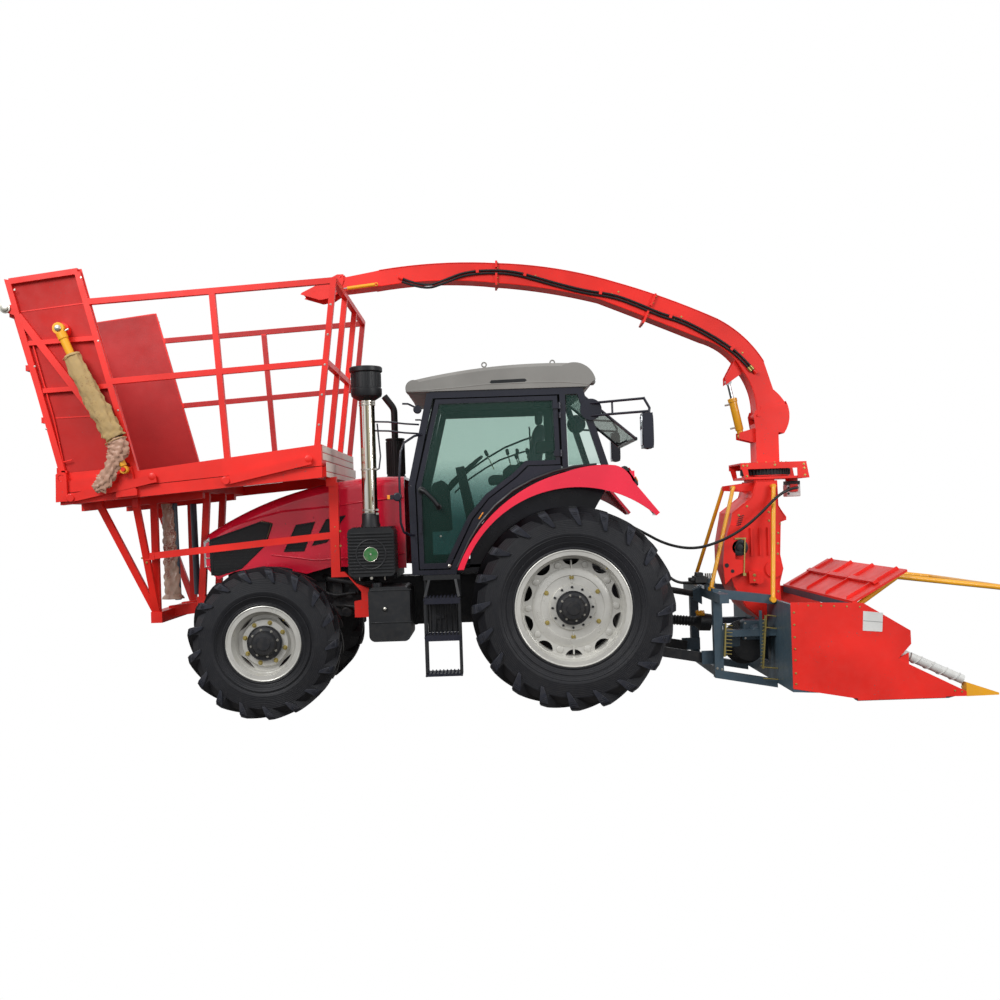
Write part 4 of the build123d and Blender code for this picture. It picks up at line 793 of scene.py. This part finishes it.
# route and diameter
INNER_RAILS = (
    ([(-1215, 735, 1840), (-1196, 690, 1865), (-1040, 690, 2025), (-880, 690, 2161), (-700, 690, 2278),
      (-515, 690, 2379), (-320, 690, 2450), (-128, 690, 2506), (-100, 735, 2512)], 20),
    ([(-1040, 735, 1940), (-1014, 690, 1961), (-880, 690, 2075), (-720, 690, 2175), (-570, 690, 2253),
      (-360, 690, 2320), (-158, 690, 2367), (-130, 735, 2370)], 18),
    ([(-260, 660, 2300), (-258, 640, 2330), (-262, 640, 2560), (-264, 735, 2580)], 16))
# foot of each lever, and how far it leans
LEVERS = ((-480, -420, -30), (-400, -420, -20), (-320, -440, -10), (-380, 400, -30), (-300, 420, 10),
          (-640, -330, -60))


def add_cab_inside():
    piece("seat_cushions", CLOTH, [plate(*row) for row in CUSHIONS], bevel=26)
    piece("seat_posts", CHROME_PAINTED_REFLECTIONS, [rod((-190, y, 2500), (-190, y, 2580), 14) for y in (-60, 60)])
    piece("cab_console", TRIM, [plate(*row) for row in CONSOLES], bevel=14)
    hub, tilt = (-905, 0, 2135), (-0.62, 0, 0.78)
    wheel = [ring(hub, tilt, 195, 26, 40, 10)]
    for turn in (90, 210, 330):
        across, up = math.cos(math.radians(turn)) * 190, math.sin(math.radians(turn)) * 190
        wheel.append(tube([(-905, 0, 2125), (-905 + 0.78 * up, across, 2135 + 0.62 * up)], 20, 8))
    piece("steering_wheel", PLASTIC, [*wheel, rod(hub, (-1090, 0, 1950), 60, 16)])
    piece("cab_levers", CHROME_PAINTED_REFLECTIONS, [rod((x, y, 2120), (x + lean, y, 2255), 11, 8) for x, y, lean in LEVERS])
    piece("lever_knobs", PLASTIC, [
        rod((x + lean * 0.9, y, 2242), (x + lean * 1.3, y, 2300), 32, 14, edge=0.3)
        for x, y, lean in LEVERS])
    piece("inner_rails", PLASTIC, [tube(route, size, 8) for route, size in INNER_RAILS])
    piece("door_seals", TRIM, framed(DOOR_EDGE, 0.90, -720, -727) + framed(DOOR_EDGE, 0.90, 720, 727))
    piece("cab_liner", TRIM, [block((-1180, -760, 2768), (110, 760, 2800)),
                              block((-1240, -620, 1236), (240, 620, 1262))])


def add_rear_corner(side, sign):
    body_from, body_to, lens_from, lens_to, flank = [sign * y for y in (895, 1060, 905, 1045, 1085)]
    lamp = [(458, 2062), (470, 2086), (500, 2078), (590, 1938), (592, 1912), (560, 1905), (520, 1940)]
    red = [(512, 2066), (520, 2070), (566, 2000), (558, 1994)]
    amber = [(566, 1988), (574, 1992), (594, 1950), (588, 1940)]
    side_amber = [(-792, 1672), (-784, 1668), (-744, 1722), (-752, 1728)]
    piece(f"tail_lamp_{side}", PLASTIC, [plate(lamp, body_from, body_to)], bevel=8)
    piece(f"tail_lens_{side}", LENS_RED, [plate(red, lens_from, lens_to)], bevel=3)
    piece(f"tail_amber_{side}", LENS_AMBER, [plate(amber, lens_from, lens_to),
                                             plate(side_amber, flank, flank + 6 * sign)], bevel=2)
    piece(f"fender_strip_{side}", PLASTIC, [tube(on_side(FENDER_EDGE, 838 * sign), 26, 8)])


def add_steps():
    """Toothed treads on the left, with their edges and bolts, and the ribbed panel behind them."""
    heights, front, back = (1000, 680, 345), -1284, -975
    treads = [plate([(x, z - 2), (x + 5, z + 15), (x + 13, z + 15), (x + 18, z - 2)], y, y + 6)
              for z in heights for x in range(-1278, -990, 32) for y in (-1020, -960, -905, -850)]
    for z in heights:
        outer, inner = (52, 40) if z > heights[-1] else (22, 22)
        treads += [block((front, -1024, z - outer), (back, -1018, z - 1)),
                   block((front, -806, z - inner), (back, -800, z - 1))]
    treads += bolts([(x, -1022, z) for x in (-1282, -978) for z in (330, 660, 985)], LEFTWARDS, 10, 6)
    piece("step_treads", NAVY, treads)
    piece("step_panel", CHASSIS, [
        block((-1266, -812, 682), (-996, -804, 975)),
        *[block((x, -830, 690), (x + 12, -812, 968)) for x in range(-1252, -1021, 46)],
        block((-1204, -826, 800), (-1120, -812, 842))], bevel=3)


def add_tanks():
    bands = []
    for sign in (-1, 1):
        bands += [block((-1752, 948 * sign, z), (-1398, 956 * sign, z + 10)) for z in (1072, 792)]
        bands += [turned([(24, 0), (24, 10), (18, 16)], (-1629, 948 * sign, 917), (0, sign, 0), 24),
                  rod((-1700, 880 * sign, 1100), (-1700, 880 * sign, 1142), 86, 28)]
    piece("tank_bands", PLASTIC, bands, bevel=2)
    piece("tank_fittings", ZINC, [turned([(13, 0), (13, 6), (7, 10)], (-1629, -962, 917), LEFTWARDS, 16)])


# route and diameter
ENGINE_PIPES = (
    ([(-2260, 215, 1180), (-2200, 330, 1160), (-2050, 352, 1130), (-1880, 330, 1100),
      (-1760, 240, 1090)], 44),
    ([(-2380, 215, 1060), (-2300, 275, 1040), (-2140, 280, 1000), (-1960, 280, 1020)], 30),
    ([(-2160, 215, 900), (-2060, 300, 905), (-1900, 320, 880), (-1780, 330, 860)], 22))


def add_engine_side():
    pipes = []
    for sign in (-1, 1):
        pipes += [tube(mirrored(route, sign), size, 10) for route, size in ENGINE_PIPES]
        pipes += [block((x, 198 * sign, 1010), (x + 92, 262 * sign, 1126)) for x in range(-2330, -1879, 150)]
        pipes += [rod((-2050, 200 * sign, 860), (-2050, 285 * sign, 840), 96, 24),
                  rod((-1930, 200 * sign, 1180), (-1930, 300 * sign, 1200), 150, 24)]
    piece("engine_pipes", IRON, pipes, bevel=4)


def add_cab():
    for side, sign in SIDES:
        add_cab_outside(side, sign)
    add_work_lamps()
    for side, sign in SIDES:
        add_mirror_head(side, sign)
    add_rear_window()
    for side, sign in SIDES:
        add_door_fittings(side, sign)
    add_cab_inside()
    for side, sign in SIDES:
        add_rear_corner(side, sign)
    add_steps()
    add_tanks()
    add_engine_side()


add_cab()


# ---------------------------------------------------------------- bin and its tower
# (X, Z) of the middle, radius in that plane, Y of the middle and half its depth
CANVAS_LINE = [(-4190, 3178, 64, -1176, 54), (-4146, 3060, 76, -1176, 58), (-4086, 2940, 74, -1176, 58),
               (-4030, 2820, 80, -1176, 60), (-3968, 2700, 84, -1176, 60), (-3916, 2600, 82, -1176, 60),
               (-3868, 2510, 86, -1176, 60), (-3842, 2455, 78, -1178, 56)]
TAIL_LINE = [(-3834, 2452, 68, -1180, 52), (-3820, 2405, 80, -1182, 54), (-3818, 2352, 84, -1186, 48),
             (-3832, 2300, 70, -1192, 42), (-3862, 2240, 48, -1198, 34), (-3896, 2160, 52, -1200, 30),
             (-3938, 2095, 62, -1200, 26), (-3984, 2052, 48, -1202, 18), (-4024, 2024, 26, -1202, 10)]


def add_cloth(name, look, line, loose_from, wildness):
    """A tube of cloth whose middle, width and depth follow the line. Its folds grow towards its end."""
    steps, rows = 5, []
    for step in range(steps * (len(line) - 1) + 1):
        i, share = divmod(step, steps)
        low, high = line[i], line[min(i + 1, len(line) - 1)]
        rows.append([a + (b - a) * share / steps for a, b in zip(low, high)])
    rings = []
    for number, (x, z, radius, y, depth) in enumerate(rows):
        before, after = rows[max(0, number - 1)], rows[min(len(rows) - 1, number + 1)]
        along = Vector((after[0] - before[0], 0, after[1] - before[1])).normalized()
        wide = ACROSS.cross(along)
        loose = min(1.0, number / len(rows) + loose_from) * wildness
        points = []
        for turn in circle(48):
            fold = (6.0 * math.sin(3 * turn + 0.50 * number) + 6.5 * math.sin(7 * turn - 0.38 * number)
                    + 5.5 * math.sin(1.3 * number + 2 * turn) + 4.5 * math.sin(11 * turn + 1.1 * number)
                    + 4.0 * math.sin(2.1 * number - 5 * turn)) * loose
            points.append(at(*(Vector((x, y, z)) + wide * (radius + fold) * math.cos(turn)
                               + ACROSS * (depth + 0.35 * fold) * math.sin(turn))))
        rings.append(points)
    obj = piece(name, look, [woven(rings)], "tip_barrels", angle=50)
    obj.modifiers.new("weave", "SOLIDIFY").thickness = 0.0025


def add_wrap():
    """The canvas tied round the left tipping cylinder, and the torn film under it whose end hangs off."""
    add_cloth("cylinder_wrap", CANVAS, CANVAS_LINE, 0.45, 1.0)
    add_cloth("wrap_tail", TAIL, TAIL_LINE, 0.7, 1.5)
    ties = []
    for x, z, radius, y, depth in (CANVAS_LINE[0], CANVAS_LINE[-1]):
        line = [(x + 1.08 * radius * math.cos(a), y + 1.14 * depth * math.sin(a),
                 z - 20 + 0.42 * radius * math.cos(a)) for a in circle(30)]
        ties.append(tube(line, 8, 6, closed=True))
    piece("wrap_ties", CANVAS, ties, "tip_barrels")


def add_tip_ends():
    sleeves, pins = [], []
    for sign in (-1, 1):
        eye = (-4290, sign * 1175, 3401)
        sleeves += [turned([(26, 34), (43, 40), (43, 96), (36, 104), (34, 250), (30, 252)], eye,
                           (0.3908, 0, -0.9205), 28),
                    turned([(50, -24), (50, 24)], eye, RIGHTWARDS)]
        pins += [turned([(27, 0), (27, 8), (22, 12), (22, 20), (15, 24)], (-4290, sign * 1200, 3401),
                        (0, sign, 0), 20),
                 rod((-4240, sign * 1175, 3380), (-4206, sign * 1175, 3396), 18, 10)]
    piece("tip_sleeves", YELLOW, sleeves, "tip_rods", bevel=2)
    piece("tip_pins", ZINC, pins, "tip_rods")


BIN_FACE = 1090  # outer face of the bin's posts
BIN_PANEL = [(-4340, 2180), (-4770, 3846), (-4140, 3918), (-3706, 2225)]
# the inner faces of the rails and posts, which the side lining covers in painted shade
LEVEL_FACES = (((-4040, 3642), (-1990, 3753)), ((-3865, 2953), (-2085, 3057)))
POST_FACES = (((-3008, 3660), (-2927, 2300)), ((-1968, 3720), (-2146, 2380)))
POST_BOLTS = ((-4690, 3760), (-4540, 3100), (-4460, 2560), (-4120, 3846), (-3990, 3300), (-3840, 2700))


def add_bin_side(side, sign):
    axis, half = (0, sign, 0), 22
    latch = [(-4560, 1072, 3300), (-4402, 1072, 2659), (-4316, 1072, 2190)]
    hook = [(-4372, 1072, 2262), (-4310, 1082, 2276), (-4252, 1082, 2290)]
    catch = block((-4345, sign * 1050, 2180), (-4296, sign * BIN_FACE, 2200))
    piece(f"latch_{side}", RED, [tube(mirrored(latch, sign), 14, 8), tube(mirrored(hook, sign), 12, 8),
                                 catch], "bin", bevel=1)
    piece(f"side_seams_{side}", RED, [
        plate([(x0, z0), (x0, z0 + 10), (x1, z1 + 10), (x1, z1)], sign * 1057, sign * 1050)
        for x0, x1, z0, z1 in ((-4660, -4060, 3572, 3634), (-4400, -3830, 2650, 2664))], "bin")
    # a darker skin over each side sheet: painted shade for the recess between the tubes
    piece(f"side_shade_skin_{side}", SHEET_RED_PAINTED_SHADE, [plate(BIN_PANEL, sign * 1051.5, sign * 1053.5)], "bin")
    inside, behind = (sign * 1038.5, sign * 1040.5), (sign * 1036.5, sign * 1039.5)
    # the inner faces of the side sheet, rails and posts, darkened in painted shade
    piece(f"side_shade_lining_{side}", PERFORATED_PAINTED_SHADE, [
        plate(BIN_PANEL, *inside),
        *[plate([(x0, z0 - half), (x1, z1 - half), (x1, z1 + half), (x0, z0 + half)], *inside)
          for (x0, z0), (x1, z1) in LEVEL_FACES],
        *[plate([(x0 - half, z0), (x0 + half, z0), (x1 + half, z1), (x1 - half, z1)], *behind)
          for (x0, z0), (x1, z1) in POST_FACES]], "bin")
    rear_post = [(-2150 + 187 * t, sign * BIN_FACE, 2350 + 1425 * t) for t in (0.12, 0.3, 0.48, 0.66, 0.84)]
    front_posts = on_side(POST_BOLTS, sign * (BIN_FACE + 1))
    piece(f"bin_bolts_{side}", ZINC, bolts(rear_post, axis, 10, 6) + bolts(front_posts, axis, 9, 5), "bin")
    piece(f"gate_pivots_{side}", ZINC, [turned([(44, 0), (44, 12), (30, 14), (30, 26), (18, 30)],
                                               (-4775, sign * 1092, 3604), axis, 28)], "gate")


def add_deck():
    for side, sign in SIDES:
        places = on_side(((-4262, 1967), (-3558, 2123), (-2936, 2071), (-2223, 2230)), sign * 1124)
        piece(f"deck_pins_{side}", RED, [
            turned([(33, 0), (33, 7), (24, 12), (8, 14)], place, (0, sign, 0), 28) for place in places])
    # pale plates on the red rear faces of the deck and floor: painted reflection
    piece("rear_reflection_bands", CREAM_REFLECTION, [block((-2090, -1010, z0), (-2084, 1010, z1))
                                 for z0, z1 in ((2076, 2118), (2126, 2206))], bevel=2)
    piece("floor_reflection_bands", CREAM_REFLECTION, [block((-2116, -1030, z0), (-2108, 1030, z1))
                                  for z0, z1 in ((2224, 2282), (2290, 2348))], "bin", bevel=2)


def add_tower():
    """The ram in the middle of the tower, the creased film round it and the tower's bolts."""
    piece("tower_ram", SLATE, [rod((-3598, y, 1010), (-3612, y, 1905), 62, 24) for y in (-330, 330)])
    foot, flare = 1022, {0: 22, 1: 12}
    rings = []
    for row, z in enumerate(range(foot, 1905, 22)):
        share = (z - foot) / 880
        x, radius = -3640 - 22 * share, 74 - 22 * share + flare.get(row, 0)
        points = []
        for turn in circle(32):
            out = radius + (5 * math.sin(4 * turn + 0.8 * row) + 4 * math.sin(6 * turn - 1.3 * row)
                            + 3 * math.sin(2.1 * row))
            points.append(at(x + out * math.cos(turn), -345 + out * math.sin(turn), z))
        rings.append(points)
    piece("ram_wrap", FILM, [woven(rings)], angle=40)
    places = ((-3780, 1420), (-3740, 1380), (-2065, 1640), (-2020, 1600), (-2065, 1470), (-2020, 1470))
    piece("tower_bolts", BRASS, bolts(on_side(places, -772), LEFTWARDS, 10, 8)
          + bolts(on_side(places, 772), RIGHTWARDS, 10, 8))


add_wrap()
add_tip_ends()
for side, sign in SIDES:
    add_bin_side(side, sign)
add_deck()
add_tower()


# ---------------------------------------------------------------- chopper and its drive
CHOPPER_BOLTS = ((2001, 1527), (1982, 1442), (1976, 1346), (1972, 1250), (1966, 1154), (1952, 1040),
                 (1966, 900), (1560, 1380), (1572, 1480), (1620, 1620), (1700, 1700), (1900, 1640),
                 (1900, 1560))
CHOPPER_SEAM = [(1560, 1640), (1750, 1780), (1795, 1930), (1985, 1930), (1988, 1700), (2050, 1590),
                (2000, 1545), (1985, 1240), (2008, 1110), (1975, 985), (1980, 790), (1895, 652), (1805, 652),
                (1668, 770), (1566, 955)]


def add_chopper():
    piece("chopper_bolts", BRASS, bolts(on_side(CHOPPER_BOLTS, -281), LEFTWARDS, 11, 8))
    piece("chopper_seams", RED, [*[tube(on_side(CHOPPER_SEAM, y), 12, 6) for y in (-280, 280)],
                                 ring((1930, -296, 1110), RIGHTWARDS, 78, 10, 32, 6),
                                 block((1688, -335, 986), (1786, -300, 1096))], bevel=2)
    slots = [plate([(1592 + x, 1520 + z), (1640 + x, 1532 + z), (1640 + x, 1541 + z), (1592 + x, 1529 + z)],
                   -283, -281) for x, z in [(7 * row, 20 * row) for row in range(5)]]
    piece("fan_slots", PLASTIC, [*slots, turned([(20, 0), (20, 3)], (1480, -345, 1160), LEFTWARDS, 20),
                                 turned([(17, 0), (17, 3)], (1532, -345, 1106), LEFTWARDS, 20)])
    piece("belt_pulley", PLASTIC, [turned(
        [(62, 0), (78, 4), (78, 16), (62, 26), (62, 34), (78, 44), (78, 56), (70, 60), (46, 60), (46, 50),
         (28, 50), (28, 70), (12, 72)], (1606, -285, 1322), LEFTWARDS, 40)])
    piece("tensioner", BRASS, [rod((1655, -352, 1410), (1636, -352, 1080), 14, 10),
                               block((1560, -358, 1398), (1664, -346, 1412)),
                               block((1626, -360, 1060), (1652, -280, 1086)),
                               *bolts([(1735, -336, 1062)], LEFTWARDS, 15, 12),
                               *bolts([(1733, -336, 1014)], LEFTWARDS, 10, 8)])


def add_combs():
    """Two upright combs of wire on the left of the frame."""
    piece("combs", BRASS, [
        plate([(1366, 358), (1386, 656), (1398, 655), (1378, 357)], -640, -600),
        *[rod((1390 - row * 1.9, -628, 640 - row * 32), (1452 - row * 1.9, -634, 634 - row * 32), 7, 6)
          for row in range(9)],
        plate([(1706, 240), (1748, 716), (1762, 716), (1720, 240)], -640, -600),
        *[rod((1710 + (z - 146) * 0.09, -640, z + 8), (1845, -640, z - 6), 12, 8)
          for z in (712, 602, 246, 146)],
        *[rod((1722 + row * 2.6, -636, 268 + row * 32), (1688 + row * 2.6, -640, 262 + row * 32), 6, 6)
          for row in range(14)]])


def add_drive():
    piece("drive_box", SLATE, [
        plate([(1568, 490), (1574, 650), (1600, 668), (1770, 660), (1782, 640), (1770, 486)], -520, -370),
        turned([(60, 0), (60, 20), (40, 30), (40, 60)], (1680, -520, 570), LEFTWARDS, 28),
        block((1400, -470, 420), (1560, -330, 560))], bevel=10)
    cover = [(90, 0)]
    for row in range(9):
        radius, low = 150 + 7 * row, 26 * row
        cover += [(radius, low + 6), (radius, low + 24), (radius - 8, low + 28)]
    cover += [(190, 250), (60, 250)]
    piece("belt_cover", PLASTIC, [turned(cover, (1640, -470, 440), RIGHTWARDS, 44)])
    box_bolts = on_side(((1590, 505), (1592, 640), (1760, 640), (1756, 502)), -520)
    frame_bolts = on_side(((1352, 905), (1352, 935), (1310, 905), (1310, 250), (1352, 240)), -600)
    piece("drive_box_bolts", ZINC, bolts(box_bolts, LEFTWARDS, 10, 8) + bolts(frame_bolts, LEFTWARDS, 12, 8))
    start, end = Vector((470, 0, 700)), Vector((1400, 0, 600))
    guard = [(34, 0), (80, 4), (86, 110), (60, 130)]
    for fold in range(140, 740, 28):
        guard += [(40, fold), (48, fold + 8), (48, fold + 18), (40, fold + 26)]
    guard += [(60, 790), (86, 812), (80, 915), (34, 920)]
    piece("drive_shaft", PLASTIC, [turned(guard, start, (end - start).normalized(), 28),
                                   rod((1395, 0, 600), (1500, 0, 588), 52, 20)])
    coil = [(1235 + 1.4 * k, -60 + 24 * math.cos(k), 700 + 24 * math.sin(k)) for k in range(56)]
    piece("yellow_spring", YELLOW, [tube(coil, 8, 6)])


def add_manifold():
    fittings = []
    for k in range(4):
        x, y = 18 * k, -10 * k
        fittings += [rod((1310 + x, -330, 1000), (1310 + x, -352, 1000), 15, 8),
                     rod((1305 + x, -240 + y, 1040), (1300 + x, -244 + y, 1088), 16, 8)]
    piece("manifold_fittings", ZINC, fittings)
    piece("manifold_body", IRON, [
        block((1180, -380, 1010), (1290, -200, 1066)), block((1200, -350, 1066), (1260, -230, 1100)),
        *[rod((1140, y, 1036), (1182, y, 1036), 34, 16) for y in (-350, -236)]], bevel=4)


TURRET_X = 1950  # the spout's slewing axis
TURRET_BOLTS = ((1684, 2078), (1720, 2078), (1980, 2078), (2250, 2078), (2252, 2040), (2258, 1975),
                (1716, 1980))


def add_turret():
    piece("gear_teeth", IRON, [
        *[turned([(9, 0), (9, 52)], (TURRET_X + 224 * math.cos(a), 224 * math.sin(a), 1992), UPWARDS, 6)
          for a in circle(44)],
        turned([(221, 0), (221, 62)], (TURRET_X, 0, 1987), UPWARDS, 60)], "spout_turret")
    flange = []
    for x, z in TURRET_BOLTS:
        for sign in (-1, 1):
            flange += bolts([(x, sign * 250, z)], (0, sign, 0), 11, 8)
    crown = [(TURRET_X + 205 * math.cos(a + 0.2), 205 * math.sin(a + 0.2), 2104) for a in circle(16)]
    piece("turret_bolts", BRASS, flange + bolts(crown, UPWARDS, 9, 7))
    piece("motor_case", PLATE, [block((2132, -64, 1778), (2266, 64, 1892))], bevel=8)
    piece("motor_flange", IRON, [block((2140, -75, 1892), (2260, 75, 1926)),
                                 rod((2200, 0, 1926), (2200, 0, 1950), 110, 28),
                                 *bolts([(2150, -64, 1860), (2150, -64, 1806)], LEFTWARDS, 12, 8)], bevel=3)


# the edges of the spout's sides, each an arc through three points
SPOUT_ARCS = [((1862, 2585), (1840, 2780), (1752, 2974)), ((1752, 2974), (1633, 3141), (1380, 3293)),
              ((1380, 3293), (880, 3510), (413, 3707)), ((413, 3707), (-56, 3818), (-561, 3892)),
              ((-561, 3892), (-1162, 3932), (-1709, 3890)), ((1946, 3063), (1762, 3299), (1520, 3479)),
              ((1520, 3479), (1049, 3686), (576, 3855)), ((576, 3855), (102, 3985), (-555, 4074)),
              ((-555, 4074), (-1157, 4089), (-1666, 4045))]
SPOUT_FLANGES = (((944, 3735), (814, 3462)), ((-553, 4096), (-560, 3866)))
CLAMPS = ((1711, 3149), (1146, 3508), (559, 3764), (-220, 3941), (-860, 4000))
HINGE = (1873, 2553)


def arc_through(start, middle, end, steps=10):
    """(X, Z) points on the arc that goes through three points."""
    (ax, az), (bx, bz), (cx, cz) = start, middle, end
    double = 2 * (ax * (bz - cz) + bx * (cz - az) + cx * (az - bz))
    a, b, c = ax * ax + az * az, bx * bx + bz * bz, cx * cx + cz * cz
    centre = ((a * (bz - cz) + b * (cz - az) + c * (az - bz)) / double,
              (a * (cx - bx) + b * (ax - cx) + c * (bx - ax)) / double)
    first, last = (math.atan2(z - centre[1], x - centre[0]) for x, z in (start, end))
    turn = (last - first + math.pi) % (2 * math.pi) - math.pi
    return arc_points(centre, math.dist(centre, start), math.degrees(first), math.degrees(first + turn),
                      steps)


def followed(controls, steps=8):
    """Points of the smooth line that a hose with these control points takes."""
    joins = [controls[0], *[(a + b) / 2 for a, b in zip(controls[1:-2], controls[2:-1])], controls[-1]]
    points = []
    for start, control, end in zip(joins, controls[1:-1], joins[1:]):
        for t in [step / steps for step in range(steps)]:
            points.append((1 - t) ** 2 * start + 2 * t * (1 - t) * control + t * t * end)
    return points + [controls[-1]]


def beside(points, gap):
    """The same line, moved down across its own direction by gap."""
    moved = []
    for number, point in enumerate(points):
        run = (points[min(number + 1, len(points) - 1)] - points[max(number - 1, 0)]).normalized()
        moved.append(point + run.cross(ACROSS) * gap)
    return moved


def add_spout():
    heads = []
    for (x0, z0), (x1, z1) in SPOUT_FLANGES:
        along = Vector((x1 - x0, 0, z1 - z0))
        across = Vector((-along.z, 0, along.x)).normalized()
        places = [Vector((x0, sign * 120, z0)) + along * share + across * 11
                  for share in (0.08, 0.3, 0.7, 0.92) for sign in (-1, 1)]
        heads += bolts(places, across, 9, 7)
    for x, z in CLAMPS:
        heads += bolts([(x - 30, -106, z - 14), (x + 34, -106, z + 4)], LEFTWARDS, 9, 6)
    piece("spout_bolts", BRASS, heads, "spout_boom")
    piece("spout_strips", RED, [tube(on_side(arc_through(*arc), y), 9, 6)
                                for y in (-107, 107) for arc in SPOUT_ARCS], "spout_boom")
    route = [Vector(place) for place in HOSES["hose_spout"][3]]
    second = beside(followed(route), 27)
    piece("spout_second_line", HOSE, [tube(second, 22, 12)], "spout_boom")
    piece("spout_line_ends", BRASS, [rod(place + Vector((-34, 0, 42)), place + Vector((-4, 0, 5)), 29, 12)
                                     for place in (route[0], second[0])], "spout_boom")
    sector = [(1900, 2560), *arc_points(HINGE, 284, -4, 30, 17), (1900, 2640)]
    piece("spout_hinge_sides", RED, [plate(sector, sign * 104.5, sign * 108.5) for sign in (-1, 1)],
          "spout_boom")


def add_lift_cylinder():
    foot, eye = Vector((1732, 0, 2372)), Vector((1625, 0, 2892))
    along = (eye - foot).normalized()
    sleeve = [(36, 56), (38, 60), (38, 330), (44, 333), (44, 366), (34, 370)]
    piece("lift_sleeve", YELLOW, [turned(sleeve, foot, along)], "lift_barrel")
    piece("lift_ports", ZINC, [rod(place + Vector((-32, 0, -6)), place + Vector((-82, 0, -16)), 18, 12)
                               for place in (foot + along * 90, foot + along * 318)], "lift_barrel")


def add_header():
    piece("blank_plates", PLATE, [plate([(2468, 775), (2636, 755), (2625, 593), (2459, 608)], -1099, -1103)])
    stripe = [(2466, 690), (2632, 672), (2632, 677), (2466, 695)]
    piece("plate_lines", PALE_GREY, [plate(stripe, -1102, -1104)])
    heads = []
    for sign in (-1, 1):
        y, axis = sign * 1100, (0, sign, 0)
        heads += bolts([(1876, y, z) for z in (781, 676, 570, 470, 374, 262, 170)], axis, 10, 7)
        heads += bolts([(3230, y, 70), (3290, y, 60), (3290, y, 100)], axis, 9, 6)
        heads += bolts([(x, y, 838 - 0.06 * (x - 2000)) for x in range(2000, 2441, 110)], axis, 8, 5)
    piece("header_bolts", BRASS, heads)
    rib = [(2612, 988), (2596, 1012), (2636, 1034), (2652, 1010)]
    piece("shield_rib", RED, [plate(rib, *ys) for ys in ((-985, -310), (-290, 290), (310, 985))], bevel=2)
    skid = [(2385, 22), (2400, 6), (3180, 6), (3245, 22)]
    piece("skids", SLATE, [plate(skid, sign * 1088, sign * 1010) for sign in (-1, 1)])
    piece("auger_bosses", WHITE, [rod((2792, sign * 1040, 404), (2868, sign * 1040, 368), 74, 28)
                                  for sign in (-1, 1)])


def add_auger_flight(side, sign):
    """The screw round the side auger's shaft: four turns of 24 steps."""
    start, end = Vector((2884, sign * 1040, 360)), Vector((3314, sign * 1040, 158))
    other = ACROSS.cross((end - start).normalized())
    points = []
    for step in range(4 * 24 + 1):
        a = 2 * math.pi * step / 24
        points.append(start + (end - start) * step / 96 + (ACROSS * math.cos(a) + other * math.sin(a)) * 42)
    piece(f"auger_flight_{side}", WHITE, [tube(points, 9, 6)], f"auger_{side[0]}")


add_chopper()
add_combs()
add_drive()
add_manifold()
add_turret()
add_spout()
add_lift_cylinder()
add_header()
for side, sign in SIDES:
    add_auger_flight(side, sign)
